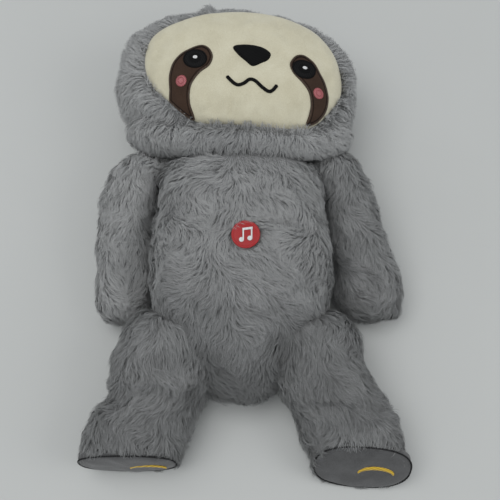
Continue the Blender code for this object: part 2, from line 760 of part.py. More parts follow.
def button_heights():
    """Heights that the button and its module share, worked down from the tummy."""
    patch_top = TORSO_DEPTH + BUTTON_PROUD
    patch_low = patch_top - MUSIC_PATCH_THICKNESS
    cap_top = patch_low - SEAM_GAP
    case_top = cap_top - CAP_PROUD
    split = case_top - CASE_FRONT_HEIGHT
    flange_top = case_top - CASE_WALL - SEAM_GAP
    flange_low = flange_top - CAP_FLANGE_THICKNESS
    board_top = flange_low - SPRING_LENGTH - SEAM_GAP
    return {"patch_top": patch_top, "patch_low": patch_low, "cap_top": cap_top,
            "case_top": case_top, "split": split, "case_low": split - CASE_REAR_HEIGHT,
            "flange_top": flange_top, "flange_low": flange_low, "board_top": board_top}


def make_torso(plush, fluff, heights):
    """The torso skin with its button hole and back seam, and the filling inside it."""
    cover = add_object("torso_cover",
                       torso_shape(0, AROUND_TORSO, COVER_STEPS, COVER_NECK_RINGS), plush)
    shape = torso_shape(TORSO_WALL, AROUND_INNER, INNER_STEPS, INNER_NECK_RINGS)
    hollow = as_cutter(add_object("torso_hollow", shape, fluff))
    shape = torso_shape(TORSO_WALL + SEAM_GAP * 2, AROUND_INNER, INNER_STEPS, INNER_NECK_RINGS)
    filling = add_object("torso_filling", shape, fluff)
    for word, center, radius in (
            ("shoulder_left", (-SHOULDER_X, SHOULDER_Y, SHOULDER_Z), SHOULDER_RADIUS),
            ("shoulder_right", (SHOULDER_X, SHOULDER_Y, SHOULDER_Z), SHOULDER_RADIUS),
            ("hip_left", (-HIP_X, HIP_Y, HIP_Z), HIP_RADIUS),
            ("hip_right", (HIP_X, HIP_Y, HIP_Z), HIP_RADIUS)):
        for target, extra, label, sides in (
                (cover, 0, "socket_", AROUND_SOCKET),
                (hollow, TORSO_WALL, "lining_", AROUND_INNER),
                (filling, TORSO_WALL + SEAM_GAP, "bed_", AROUND_INNER)):
            cutter = ball(center, radius + JOINT_GAP + extra, sides=sides)
            cut(target, as_cutter(add_object(label + word, cutter, fluff)))
    cut(cover, hollow)
    shaft = cylinder(MUSIC_PATCH_RADIUS + BUTTON_HOLE_GAP, heights["split"],
                     TORSO_DEPTH + OVERRUN, BUTTON_X, BUTTON_Y)
    shaft = as_cutter(add_object("button_shaft", shaft, fluff))
    slot = stadium(SLIT_LENGTH, SLIT_WIDTH, -OVERRUN, heights["split"], 0, SLIT_Y)
    slot = as_cutter(add_object("seam_slot", slot, fluff))
    slit = stadium(SLIT_LENGTH, SLIT_WIDTH, -OVERRUN, TORSO_WALL * SLIT_REACH_SHARE, 0, SLIT_Y)
    slit = as_cutter(add_object("seam_slit", slit, fluff))
    bed = cylinder(CASE_RADIUS + CAVITY_GAP, heights["case_low"] - CAVITY_GAP,
                   heights["case_top"] + CAVITY_GAP, BUTTON_X, BUTTON_Y)
    bed = as_cutter(add_object("module_bed", bed, fluff))
    cut(cover, shaft, slit)
    cut(filling, shaft, slot, bed)


def make_closure(strip_finish):
    """Hook and loop strips that close the back seam."""
    low = STRIP_RISE
    for word in ("closure_hook_strip", "closure_loop_strip"):
        shape = stadium(SLIT_LENGTH - SEAM_GAP * 2, SLIT_WIDTH - SEAM_GAP * 2, low,
                        low + STRIP_THICKNESS, 0, SLIT_Y)
        add_object(word, shape, strip_finish, smooth=False)
        low += STRIP_THICKNESS + SEAM_GAP


def note_outlines():
    """A plain beamed pair of notes: two round heads, two stems and a sloping beam."""
    half = NOTE_SPACING / 2
    base = BUTTON_Y - NOTE_HEIGHT / 2
    outlines = []
    for sign in (-1, 1):
        stem_right = BUTTON_X + sign * half + NOTE_HEAD_RADIUS
        stem_left = stem_right - NOTE_STEM_WIDTH
        rise = NOTE_BEAM_RISE * (1 + sign) / 2
        head = []
        for index in range(NOTE_HEAD_POINTS):
            angle = 2 * math.pi * (index + NOTE_START_SHARE) / NOTE_HEAD_POINTS
            head.append((BUTTON_X + sign * half + NOTE_HEAD_RADIUS * math.cos(angle),
                         base + rise + NOTE_HEAD_RADIUS * math.sin(angle)))
        outlines.append(head)
        top = base + NOTE_HEIGHT + rise - NOTE_BEAM / 2
        outlines.append([(stem_left, base + rise), (stem_right, base + rise),
                         (stem_right, top), (stem_left, top)])
    left = BUTTON_X - half + NOTE_HEAD_RADIUS - NOTE_STEM_WIDTH * NOTE_BEAM_OVERHANG_SHARE
    right = BUTTON_X + half + NOTE_HEAD_RADIUS * NOTE_BEAM_OVERHANG_SHARE
    top = base + NOTE_HEIGHT
    outlines.append([(left, top - NOTE_BEAM), (right, top - NOTE_BEAM + NOTE_BEAM_RISE),
                     (right, top + NOTE_BEAM_RISE), (left, top)])
    return outlines


def make_note(white, low):
    """The note as one raised piece joined from its parts."""
    pieces = []
    for index, outline in enumerate(note_outlines()):
        rings = [[Vector((x, y, height)) for x, y in outline]
                 for height in (low, low + NOTE_THICKNESS)]
        name = "music_note" if index == 0 else "note_part_" + str(index)
        pieces.append(add_object(name, loft(rings), white, smooth=False))
    join(pieces[0], *pieces[1:])
    return pieces[0]


def turned(profile, sides, x, y):
    """A solid of revolution about an upright axis, from its outer and inner profile points."""
    rings = []
    for radius, height in profile:
        rings.append([Vector((x + radius * math.cos(2 * math.pi * index / sides),
                              y + radius * math.sin(2 * math.pi * index / sides), height))
                      for index in range(sides)])
    return loft(rings)


def make_button(red, white, hard_plastic, steel, heights):
    """The red music patch, its note, the push cap below it and the return spring."""
    edge = MUSIC_PATCH_BEVEL
    patch = turned([(MUSIC_PATCH_RADIUS, heights["patch_low"]),
                    (MUSIC_PATCH_RADIUS, heights["patch_top"] - edge),
                    (MUSIC_PATCH_RADIUS - edge, heights["patch_top"])],
                   ROUND_SIDES, BUTTON_X, BUTTON_Y)
    moving = [add_object("music_patch", patch, red)]
    moving.append(make_note(white, heights["patch_top"] + SEAM_GAP))
    switch_top = heights["board_top"] + SEAM_GAP + SWITCH_HEIGHT
    stem_low = switch_top + BUTTON_TRAVEL + SEAM_GAP
    cap = turned([(CAP_STEM_RADIUS, stem_low), (CAP_STEM_RADIUS, heights["flange_low"]),
                  (CAP_FLANGE_RADIUS, heights["flange_low"]),
                  (CAP_FLANGE_RADIUS, heights["flange_top"]),
                  (CAP_RADIUS, heights["flange_top"]), (CAP_RADIUS, heights["cap_top"])],
                 ROUND_SIDES, BUTTON_X, BUTTON_Y)
    moving.append(add_object("button_cap", cap, hard_plastic))
    low = heights["board_top"] + SEAM_GAP + SPRING_WIRE_RADIUS
    high = heights["flange_low"] - SEAM_GAP - SPRING_WIRE_RADIUS
    path = []
    count = SPRING_TURNS * SPRING_STEPS
    for index in range(count + 1):
        angle = 2 * math.pi * index / SPRING_STEPS
        path.append(Vector((BUTTON_X + SPRING_RADIUS * math.cos(angle),
                            BUTTON_Y + SPRING_RADIUS * math.sin(angle),
                            low + (high - low) * index / count)))
    moving.append(add_object("return_spring", tube(path, SPRING_WIRE_RADIUS, SPRING_SIDES),
                             steel))
    carry(pivot_empty("music_button_axis", Vector((BUTTON_X, BUTTON_Y, heights["cap_top"]))),
          *moving)


def revolve_closed(profile, sides, x, y):
    """A ring-shaped solid from a closed profile of radius and height."""
    shape = bmesh.new()
    rows = []
    for radius, height in profile:
        rows.append([shape.verts.new((x + radius * math.cos(2 * math.pi * index / sides),
                                      y + radius * math.sin(2 * math.pi * index / sides),
                                      height)) for index in range(sides)])
    for first, second in zip(rows, rows[1:] + rows[:1]):
        for index in range(sides):
            after = (index + 1) % sides
            shape.faces.new((first[index], first[after], second[after], second[index]))
    return shape


def make_case(hard_plastic, heights):
    """The module's front and rear shells, with screw bosses, posts and a sound grille."""
    inner = CASE_RADIUS - CASE_WALL
    top = heights["case_top"]
    base = heights["split"] + SEAM_GAP
    low = heights["case_low"]
    cap_hole = CAP_RADIUS + CAP_HOLE_GAP
    roof = top - CASE_WALL
    floor = low + CASE_WALL
    sink = CASE_WALL * CASE_SINK_SHARE
    front_rings = [(cap_hole, roof), (cap_hole, top), (CASE_RADIUS, top), (CASE_RADIUS, base),
                   (inner, base), (inner, roof)]
    front = add_object("case_front", revolve_closed(front_rings, ROUND_SIDES, BUTTON_X, BUTTON_Y),
                       hard_plastic)
    rear = add_object("case_rear",
                      turned([(inner, heights["split"]), (CASE_RADIUS, heights["split"]),
                              (CASE_RADIUS, low)], ROUND_SIDES, BUTTON_X, BUTTON_Y), hard_plastic)
    room = add_object("case_room", cylinder(inner, floor, heights["split"] + OVERRUN, BUTTON_X,
                                            BUTTON_Y), hard_plastic)
    cut(rear, as_cutter(room))
    for index, sign in enumerate((-1, 1)):
        boss_y = BUTTON_Y + sign * BOSS_PLACE
        pillar = cylinder(BOSS_RADIUS, base, roof + sink, BUTTON_X, boss_y, BOSS_SIDES)
        join(front, add_object("front_boss_" + str(index), pillar, hard_plastic))
        pillar = cylinder(BOSS_RADIUS, floor - sink, heights["split"], BUTTON_X, boss_y,
                          BOSS_SIDES)
        join(rear, add_object("rear_boss_" + str(index), pillar, hard_plastic))
        post = cylinder(POST_RADIUS, heights["board_top"] + SEAM_GAP, roof + sink,
                        BUTTON_X + sign * POST_PLACE, BUTTON_Y, SMALL_SIDES)
        join(front, add_object("board_post_" + str(index), post, hard_plastic))
    bore = SCREW_RADIUS + SCREW_GAP
    for index, sign in enumerate((-1, 1)):
        boss_y = BUTTON_Y + sign * BOSS_PLACE
        hole = cylinder(bore, low - OVERRUN, low + SCREW_LENGTH + OVERRUN, BUTTON_X, boss_y,
                        SMALL_SIDES)
        recess = cylinder(SCREW_HEAD_RADIUS + SCREW_GAP, low - OVERRUN,
                          low + SCREW_HEAD_DEPTH + SCREW_GAP * 2, BUTTON_X, boss_y, SMALL_SIDES)
        hole = as_cutter(add_object("screw_bore_" + str(index), hole, hard_plastic))
        recess = as_cutter(add_object("screw_recess_" + str(index), recess, hard_plastic))
        cut(front, hole)
        cut(rear, hole, recess)
    window = block(DOOR_LENGTH, DOOR_WIDTH, low - OVERRUN, floor + OVERRUN,
                   BUTTON_X + CELL_X, BUTTON_Y)
    cut(rear, as_cutter(add_object("door_window", window, hard_plastic)))
    for row in range(-1, 2):
        for column in range(-1, 2):
            hole = cylinder(GRILLE_HOLE_RADIUS, low - OVERRUN, floor + OVERRUN,
                            BUTTON_X + SPEAKER_X + row * GRILLE_PITCH,
                            BUTTON_Y + column * GRILLE_PITCH, GRILLE_SIDES)
            name = "grille_hole_" + str(row + 1) + str(column + 1)
            cut(rear, as_cutter(add_object(name, hole, hard_plastic)))
    door = block(DOOR_LENGTH - SEAM_GAP * 2, DOOR_WIDTH - SEAM_GAP * 2, low, floor,
                 BUTTON_X + CELL_X, BUTTON_Y)
    add_object("battery_door", door, hard_plastic, smooth=False)
    return floor


def make_screws(steel, heights):
    """Two case screws, driven in from the rear."""
    low = heights["case_low"] + SCREW_GAP
    neck = low + SCREW_HEAD_DEPTH
    profile = [(SCREW_HEAD_RADIUS, low), (SCREW_HEAD_RADIUS, neck), (SCREW_RADIUS, neck),
               (SCREW_RADIUS, low + SCREW_LENGTH)]
    for sign, word in ((-1, "lower"), (1, "upper")):
        screw = turned(profile, SMALL_SIDES, BUTTON_X, BUTTON_Y + sign * BOSS_PLACE)
        add_object("case_screw_" + word, screw, steel)


def make_electronics(board_green, black, steel, brass, heights, floor):
    """Circuit board, switch, speaker, button cells and their contacts."""
    board_top = heights["board_top"]
    add_object("circuit_board", cylinder(BOARD_RADIUS, board_top - BOARD_THICKNESS, board_top,
                                         BUTTON_X, BUTTON_Y), board_green)
    switch = block(SWITCH_WIDTH, SWITCH_WIDTH, board_top + SEAM_GAP,
                   board_top + SEAM_GAP + SWITCH_HEIGHT, BUTTON_X, BUTTON_Y)
    add_object("push_switch", switch, black, smooth=False)
    low = floor + SEAM_GAP
    rim = low + SPEAKER_RIM
    speaker = turned([(SPEAKER_RADIUS, low), (SPEAKER_RADIUS, rim),
                      (SPEAKER_RADIUS * SPEAKER_MAGNET_SHARE, rim),
                      (SPEAKER_RADIUS * SPEAKER_MAGNET_SHARE, low + SPEAKER_HEIGHT)],
                     ROUND_SIDES, BUTTON_X + SPEAKER_X, BUTTON_Y)
    add_object("speaker", speaker, black)
    stack = CELL_COUNT * CELL_LENGTH + (CELL_COUNT - 1) * CELL_GAP
    turn = Matrix.Rotation(math.radians(90.0), 4, "X")
    for index, word in enumerate(("lower", "middle", "upper")):
        start = -stack / 2 + index * (CELL_LENGTH + CELL_GAP)
        cell = cylinder(CELL_RADIUS, -start - CELL_LENGTH, -start, sides=CELL_SIDES)
        place(cell, Matrix.Translation((BUTTON_X + CELL_X, BUTTON_Y, low + CELL_RADIUS)) @ turn)
        add_object("battery_cell_" + word, cell, steel)
    for sign, word in ((-1, "lower"), (1, "upper")):
        middle = BUTTON_Y + sign * (stack / 2 + CELL_GAP + CONTACT_THICKNESS / 2)
        plate = block(CONTACT_THICKNESS, CONTACT_WIDTH, low, low + CONTACT_HEIGHT,
                      BUTTON_X + CELL_X, middle)
        add_object("battery_contact_" + word, plate, brass, smooth=False)


def main():
    """Build the whole toy."""
    clear_scene()
    plush = material("grey_plush", (0.23, 0.24, 0.24), 0.95)
    fluff = material("polyester_filling", (0.85, 0.85, 0.83), 1.0)
    cream = material("cream_plush", (0.60, 0.57, 0.43), 0.9)
    brown = material("brown_velour", (0.05, 0.025, 0.02), 0.8)
    black = material("black_thread", (0.01, 0.01, 0.01), 0.5)
    white = material("white_thread", (0.85, 0.85, 0.85), 0.6)
    pink = material("pink_thread", (0.65, 0.25, 0.25), 0.7)
    red = material("red_thread", (0.55, 0.03, 0.04), 0.6)
    yellow = material("yellow_thread", (0.75, 0.50, 0.03), 0.6)
    sole = material("sole_velour", (0.12, 0.12, 0.12), 0.9)
    hard_plastic = material("white_plastic", (0.80, 0.80, 0.78), 0.4)
    steel = material("steel", (0.60, 0.60, 0.60), 0.3, 1.0)
    brass = material("brass", (0.70, 0.50, 0.20), 0.3, 1.0)
    board_green = material("circuit_green", (0.02, 0.20, 0.06), 0.5)
    heights = button_heights()
    make_torso(plush, fluff, heights)
    head = add_object("head", head_shape(), plush)
    neck = (0, NECK_Y, NECK_Z)
    socket = ball(neck, NECK_RADIUS + JOINT_GAP, NECK_HALF_WIDTH + JOINT_GAP)
    cut(head, as_cutter(add_object("neck_socket", socket, plush)))
    face = make_face(cream, brown, black, white, pink)
    carry(pivot_empty("neck_axis", Vector(neck)), head, *face)
    for side, word, splay, spread, turn, tilt, shift in (
            (-1, "left", ARM_SPLAY_LEFT, LEG_SPREAD_LEFT, TOE_TURN_LEFT, SOLE_TILT_LEFT,
             EMBLEM_SHIFT_LEFT),
            (1, "right", ARM_SPLAY_RIGHT, LEG_SPREAD_RIGHT, TOE_TURN_RIGHT, SOLE_TILT_RIGHT,
             EMBLEM_SHIFT_RIGHT)):
        frame = sole_frame(side, spread, turn, tilt)
        arm = add_object("arm_" + word, arm_shape(side, splay), plush)
        carry(pivot_empty("shoulder_axis_" + word,
                          Vector((side * SHOULDER_X, SHOULDER_Y, SHOULDER_Z))), arm)
        leg = [add_object("leg_" + word, leg_shape(side, spread, turn, tilt), plush),
               add_object("sole_" + word, sole_shape(frame), sole),
               add_object("sole_emblem_" + word, emblem_shape(frame, shift), yellow)]
        carry(pivot_empty("hip_axis_" + word, Vector((side * HIP_X, HIP_Y, HIP_Z))), *leg)
    make_closure(sole)
    make_button(red, white, hard_plastic, steel, heights)
    floor = make_case(hard_plastic, heights)
    make_screws(steel, heights)
    make_electronics(board_green, black, steel, brass, heights, floor)


main()
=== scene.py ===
"""Scene of the plush sloth: long pile, short-pile face and stitched details over the CAD frame."""
import math

import bmesh
import bpy
import numpy as np
from mathutils import Matrix, Vector
from mathutils.bvhtree import BVHTree
from mathutils.kdtree import KDTree


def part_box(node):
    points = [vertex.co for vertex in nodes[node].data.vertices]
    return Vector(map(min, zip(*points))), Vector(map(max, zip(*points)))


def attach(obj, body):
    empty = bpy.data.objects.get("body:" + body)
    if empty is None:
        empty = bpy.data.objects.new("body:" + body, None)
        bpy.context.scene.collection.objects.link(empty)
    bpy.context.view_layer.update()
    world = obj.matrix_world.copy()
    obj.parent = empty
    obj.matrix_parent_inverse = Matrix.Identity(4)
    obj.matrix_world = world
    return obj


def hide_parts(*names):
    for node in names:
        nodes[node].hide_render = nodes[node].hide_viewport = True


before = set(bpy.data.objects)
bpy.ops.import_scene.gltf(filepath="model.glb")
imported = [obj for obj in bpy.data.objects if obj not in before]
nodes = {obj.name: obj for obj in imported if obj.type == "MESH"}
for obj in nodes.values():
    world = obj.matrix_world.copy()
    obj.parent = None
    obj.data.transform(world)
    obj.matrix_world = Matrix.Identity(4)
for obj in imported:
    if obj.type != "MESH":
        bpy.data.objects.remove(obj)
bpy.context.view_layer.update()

# Sizes that repeat the source of the frame, in metres
REST_CUT = 0.0005
TORSO_HALF_WIDTH, TORSO_DEPTH, TORSO_LENGTH = 0.066, 0.096, 0.160
NECK_Y, NECK_Z, NECK_RADIUS, NECK_HALF_WIDTH = 0.048, 0.048, 0.044, 0.062
NECK_MIDDLE = np.array([0, NECK_Y, NECK_Z])
NECK_HALF = np.array([NECK_HALF_WIDTH, NECK_RADIUS, NECK_RADIUS])
TORSO_ROWS = (
    (0.16, 0.965, 0.008, 0.985, 2.35), (0.33, 1.000, -0.018, 1.000, 2.60),
    (0.48, 1.000, -0.020, 0.985, 2.60), (0.60, 0.960, -0.018, 0.925, 2.50),
    (0.69, 0.865, 0.005, 0.840, 2.40), (0.78, 0.720, 0.030, 0.730, 2.30),
    (0.87, 0.560, 0.075, 0.600, 2.20), (0.94, 0.420, 0.140, 0.490, 2.20),
    (0.985, 0.260, 0.210, 0.390, 2.20),
)
SEAT_HEIGHT = 0.29
HEAD_HALF = (0.092, 0.057, 0.050)
HEAD_X, HEAD_Y, HEAD_TURN = -0.003, 0.134, math.radians(-7.0)
PLAN_POWER, JOWL_POWER, SIDE_POWER = 2.6, 3.0, 2.2
SHOULDER, SHOULDER_RADIUS = (0.073, 0.058, 0.046), 0.021
ARM_LENGTH, PAW_HALF_WIDTH, PAW_HALF_DEPTH = 0.110, 0.0235, 0.0210
ARM_ROWS = (
    (0.15, 0.060, 0.94, 0.77, 0.90, 1.25), (0.34, 0.100, 0.72, 0.84, 0.94, 1.18),
    (0.55, 0.130, 0.34, 0.93, 0.98, 1.06), (0.75, 0.145, 0.00, 1.00, 1.00, 1.00),
    (0.89, 0.145, -0.05, 0.91, 0.90, 1.00), (0.97, 0.145, -0.09, 0.60, 0.58, 1.00),
)
HIP, HIP_RADIUS = (0.050, -0.072, 0.044), 0.033
LEG_LENGTH, FOOT_HALF_WIDTH, FOOT_HALF_DEPTH, FOOT_POWER = 0.082, 0.040, 0.029, 2.5
LEG_ROWS = (
    (0.22, 0.29, 0.82, 0.760, 0.88, 0.0, 1.30), (0.42, 0.44, 0.55, 0.870, 0.97, 0.1, 1.20),
    (0.64, 0.68, 0.26, 0.930, 0.98, 0.4, 1.08), (0.84, 0.92, 0.06, 0.975, 0.98, 0.8, 1.00),
    (0.96, 1.00, 0.00, 0.965, 0.96, 1.0, 1.00), (1.00, 1.00, 0.00, 0.920, 0.90, 1.0, 1.00),
)
BUTTON = (0.004, -0.001)
FACE_MIDDLE, FACE_HALF = np.array([0.006, -0.001]), np.array([0.075, 0.0475])
FACE_ROWS = (
    (-1.03, 0.00), (-0.97, 0.40), (-0.70, 0.67), (-0.38, 0.86), (0.02, 0.99), (0.38, 0.97),
    (0.68, 0.79), (0.91, 0.43), (1.02, -0.06), (0.955, -0.44), (0.75, -0.85), (0.42, -1.00),
    (0.00, -1.02), (-0.39, -1.03), (-0.69, -0.78), (-0.93, -0.45),
)

# The pile: how deep its skin lies below the frame's surface, how long and how high it is, how
# wide its strands are from root to tip, how many stand on a square metre and how many in a piece
SKIN_DEPTH, PILE_LENGTH, PILE_HEIGHT = 0.0037, 0.0110, 0.0006
STRAND_WIDTH, STRAND_STEPS, STRAND_TAPER = 0.00034, 4, (0.85, 1.0, 0.86, 0.55, 0.0)
DENSITY, MOST_STRANDS = 1100000.0, 27000
# How large a clump is, what share of strands stray from it, and how much darker a strand is at its
# root: partly the pile's own darker base, partly painted shade deep in the pile
CLUMP_AREA, STRAY_SHARE, ROOT_SHADE = 0.0000045, 0.22, 0.31

# The skins: how low they and the pile reach, how deep they lie over the module's case, how much
# room they leave there, how finely they are divided and how their cloth swells
FLOOR_GAP, SKIN_FLOOR = 0.0004, 0.0032
CASE_SKIN_DEPTH, CLOTH_GAP = 0.0022, 0.0012
FINE = 4
SWELL, CLOTH_MASS, CLOTH_PRESSURE, CLOTH_FRAMES = 0.0022, 0.05, 4.0, 20

# The torso: where its front begins, its hole round the music button and its closure at the back
TUMMY_HEIGHT = 0.06
HOLE_CUT, HOLE_RADIUS, HOLE_WALL = 0.0112, 0.0108, 0.0030
CLOSURE_Y, CLOSURE_HALF = -0.040, (0.0062, 0.0262)

# A limb's sides: how far they may be drawn in or out, over what length that fades at the joint,
# and the least half width that is drawn at all
SIDE_STRETCH, SIDE_FADE, SIDE_LEAST = (0.78, 1.25), 0.012, 0.004


def share_of(value, size):
    """How far a value is on its way to a size, from 0 to 1."""
    return np.clip(value / size, 0, 1)


def bell(value, width):
    """1 at zero and less on both sides of it."""
    return np.exp(-(value / width) ** 2)


def on_table(place):
    """Where a form lies on the table: 1 there and 0 above it."""
    return share_of(0.006 - place[..., 2], 0.003)


def off_button(place):
    """How far points lie from the middle of the music button, seen from the front."""
    return np.hypot(place[..., 0] - BUTTON[0], place[..., 1] - BUTTON[1])


def mirrored(center, side):
    """A joint's middle on one side."""
    return np.array([side * center[0], center[1], center[2]])


JOINTS = [(side, mirrored(center, side), radius) for side in (-1, 1)
          for center, radius in ((SHOULDER, SHOULDER_RADIUS), (HIP, HIP_RADIUS))]


def spline(before, start, end, after, steps):
    """A smooth curve in steps from each start to its end."""
    into, out, rise = (end - before) / 2, (after - start) / 2, end - start
    found = [start + into * t + (3 * rise - 2 * into - out) * t * t
             + (into + out - 2 * rise) * t ** 3 for t in (step / steps for step in range(steps))]
    return np.stack(found, axis=1).reshape(-1, start.shape[1])


def rows_between(rows, steps):
    """A smooth curve of rows through the given ones."""
    rows = np.array(rows)
    more = np.vstack([rows[:1], rows, rows[-1:]])
    return np.vstack([spline(more[:-3], more[1:-2], more[2:-1], more[3:], steps), rows[-1:]])


def closed_curve(points, steps):
    """A smooth closed curve through an outline's points."""
    points = np.array(points, dtype=float)
    return spline(*(np.roll(points, shift, axis=0) for shift in (1, 0, -1, -2)), steps)


def ring(middle, half_width, half_depth, power, sides, tilt=0.0, bulge=1.0):
    """One closed cross-section across Y."""
    angle = np.linspace(0, 2 * np.pi, sides, endpoint=False)
    c, s = np.cos(angle), np.sin(angle)
    across = np.sign(c) * np.abs(c) ** (2 / power)
    up = np.sign(s) * np.abs(s) ** (2 / power) * half_depth
    across = np.where(across > 0, across * (1 + (bulge - 1) * across ** 2), across)
    return np.stack([middle[0] + across * half_width, middle[1] + up * math.sin(tilt),
                     middle[2] + up * math.cos(tilt)], axis=1)


def capped(rings, first, last):
    """Rings with a closed end at a first and at a last point."""
    rings = np.array(rings)
    ends = [np.repeat([[point]], rings.shape[1], axis=1) for point in (first, last)]
    return np.concatenate([ends[0], rings, ends[1]])


def tube(line, across, up, width, height, sides):
    """Rings of points around a line."""
    a = np.linspace(0, 2 * np.pi, sides, endpoint=False)[:, None]
    return line[:, None] + (across[:, None] * np.cos(a) * width + up[:, None] * np.sin(a) * height)


def tube_faces(count, sides):
    """The faces of a tube that closes on itself."""
    return [(i * sides + j, i * sides + (j + 1) % sides, (i + 1) % count * sides + (j + 1) % sides,
             (i + 1) % count * sides + j) for i in range(count) for j in range(sides)]


def moved(grid, matrix):
    """A grid of points through a matrix."""
    m = np.array(matrix)
    return grid @ m[:3, :3].T + m[:3, 3]


def torso_grid(sides, steps, neck_rings):
    """The torso's outer form as rings from the neck to the seat."""
    rings = []
    for index in range(1, neck_rings):
        a = math.pi / 2 * (1 - index / neck_rings)
        rings.append(ring((0, NECK_Y + NECK_RADIUS * math.sin(a), NECK_Z),
                          NECK_HALF_WIDTH * math.cos(a), NECK_RADIUS * math.cos(a),
                          2.0 + 0.6 * (index / neck_rings) ** 2, sides))
    first = (0.0, NECK_HALF_WIDTH / TORSO_HALF_WIDTH, (NECK_Z - NECK_RADIUS) / TORSO_DEPTH,
             (NECK_Z + NECK_RADIUS) / TORSO_DEPTH, 2.6)
    for along, wide, low, high, power in rows_between((first,) + TORSO_ROWS, steps):
        rings.append(ring((0, NECK_Y - along * TORSO_LENGTH, (low + high) / 2 * TORSO_DEPTH),
                          wide * TORSO_HALF_WIDTH, (high - low) / 2 * TORSO_DEPTH, power, sides))
    return capped(rings, (0, NECK_Y + NECK_RADIUS, NECK_Z),
                  (0, NECK_Y - TORSO_LENGTH, SEAT_HEIGHT * TORSO_DEPTH))


def head_matrix():
    """From the head's own frame to the toy's frame."""
    return (Matrix.Translation((HEAD_X, HEAD_Y, HEAD_HALF[2] - REST_CUT))
            @ Matrix.Rotation(HEAD_TURN, 4, "Z"))


def head_grid(sides, count):
    """The head's outer form in its own frame, rings from top to chin."""
    rings = []
    for index in range(1, count):
        a = math.pi * index / count
        exponent = 2 / (PLAN_POWER if 2 * index <= count else JOWL_POWER)
        v = math.copysign(abs(math.cos(a)) ** exponent, math.cos(a)) * HEAD_HALF[1]
        share = math.sin(a) ** exponent
        rings.append(ring((0, v, 0), HEAD_HALF[0] * share, HEAD_HALF[2] * share, SIDE_POWER, sides))
    return capped(rings, (0, HEAD_HALF[1], 0), (0, -HEAD_HALF[1], 0))


def limb_matrix(side, place, turn):
    """Place a limb that is drawn for the right side."""
    return (Matrix.Translation((side * place[0], place[1], 0))
            @ Matrix.Diagonal((side, 1.0, 1.0, 1.0)) @ Matrix.Rotation(turn, 4, "Z"))


def ball_rings(radius, height, sides, end_share, count, bulge):
    """The rounded joint end of a limb, but for its tip."""
    rings = []
    low = math.acos(-end_share)
    for index in range(1, count + 1):
        a = low * index / count
        rings.append(ring((0, radius * math.cos(a), height), radius * math.sin(a),
                          radius * math.sin(a), 2.0, sides,
                          bulge=1 + (bulge - 1) * index / count))
    return rings


def arm_grid(side, splay, sides, steps):
    """An arm's outer form from the shoulder to the paw."""
    rings = ball_rings(SHOULDER_RADIUS, SHOULDER[2], sides, 0.35, 3 * steps, 1.20)
    low = PAW_HALF_DEPTH - REST_CUT
    for along, out, rise, wide, deep, bulge in rows_between(ARM_ROWS, steps):
        rings.append(ring((out * ARM_LENGTH, -along * ARM_LENGTH, low + rise * (SHOULDER[2] - low)),
                          wide * PAW_HALF_WIDTH, deep * PAW_HALF_DEPTH, 2.0, sides, bulge=bulge))
    grid = capped(rings, (0, SHOULDER_RADIUS, SHOULDER[2]),
                  (ARM_ROWS[-1][1] * ARM_LENGTH, -ARM_LENGTH, low))
    return moved(grid, limb_matrix(side, SHOULDER, splay))


def foot_height(tilt):
    """Height of the middle of a foot that stands on its heel."""
    return LEG_ROWS[-2][4] * FOOT_HALF_DEPTH * math.cos(tilt) - REST_CUT


def leg_grid(side, spread, turn, tilt, sides, steps):
    """A leg's outer form from the hip to the edge of the sole."""
    rings = ball_rings(HIP_RADIUS, HIP[2], sides, 0.25, 3 * steps, 1.28)
    low = foot_height(tilt)
    for along, out, rise, wide, deep, lean, bulge in rows_between(LEG_ROWS, steps):
        rings.append(ring((out * spread, -along * LEG_LENGTH, low + rise * (HIP[2] - low)),
                          wide * FOOT_HALF_WIDTH, deep * FOOT_HALF_DEPTH,
                          2.0 + (FOOT_POWER - 2.0) * along, sides, lean * tilt, bulge))
    grid = capped(rings, (0, HIP_RADIUS, HIP[2]), (spread, -LEG_LENGTH, low))
    return moved(grid, limb_matrix(side, HIP, turn))


def fit_sides(grid, side, outer, inner):
    """Draw a limb's sides in or out to lines given as (y, x)."""
    grid = grid.copy()
    for rows, sign in ((outer, side), (inner, -side)):
        rows = np.array(sorted(rows))
        for ring_points in grid:
            y = ring_points[:, 1].mean()
            middle = ring_points[:, 0].mean()
            reach = ((ring_points[:, 0] - middle) * sign).max()
            if reach < SIDE_LEAST:
                continue
            wanted = (np.interp(y, rows[:, 0], rows[:, 1]) - middle) * sign
            fade = share_of(rows[-1, 0] + SIDE_FADE - y, SIDE_FADE)
            ratio = 1 + (np.clip(wanted / reach, *SIDE_STRETCH) - 1) * fade
            off = ring_points[:, 0] - middle
            mine = off * sign > 0
            ring_points[:, 0] = np.where(mine, middle + off * ratio, ring_points[:, 0])
    return grid


def eased(grid):
    """Ease the step between a limb's rounded joint end and the limb."""
    grid = grid.copy()
    first, last = int(2.4 * FINE), int(4.8 * FINE)
    for _ in range(5 * FINE):
        grid[first:last] = (grid[first - 1:last - 1] + 2 * grid[first:last]
                            + grid[first + 1:last + 1]) / 4
    return grid


def creased(grid, lines):
    """Press folds into a grid: each line is its points, its width and its depth."""
    normals = grid_normals(grid)
    push = np.zeros(grid.shape[:2])
    for path, width, depth in lines:
        path = rows_between(path, 10)
        away = np.linalg.norm(grid[:, :, None] - path[None, None], axis=-1).min(axis=-1)
        push += depth * (bell(away, width) - 0.45 * bell(away - 2.2 * width, 1.2 * width))
    return grid - normals * push[..., None]


def unit(v):
    """Vectors at length one."""
    return v / np.maximum(np.linalg.norm(v, axis=-1, keepdims=True), 1e-12)


def laid_flat(v, normal):
    """Directions at length one, laid flat on a surface."""
    return unit(v - normal * (v * normal).sum(axis=1, keepdims=True))


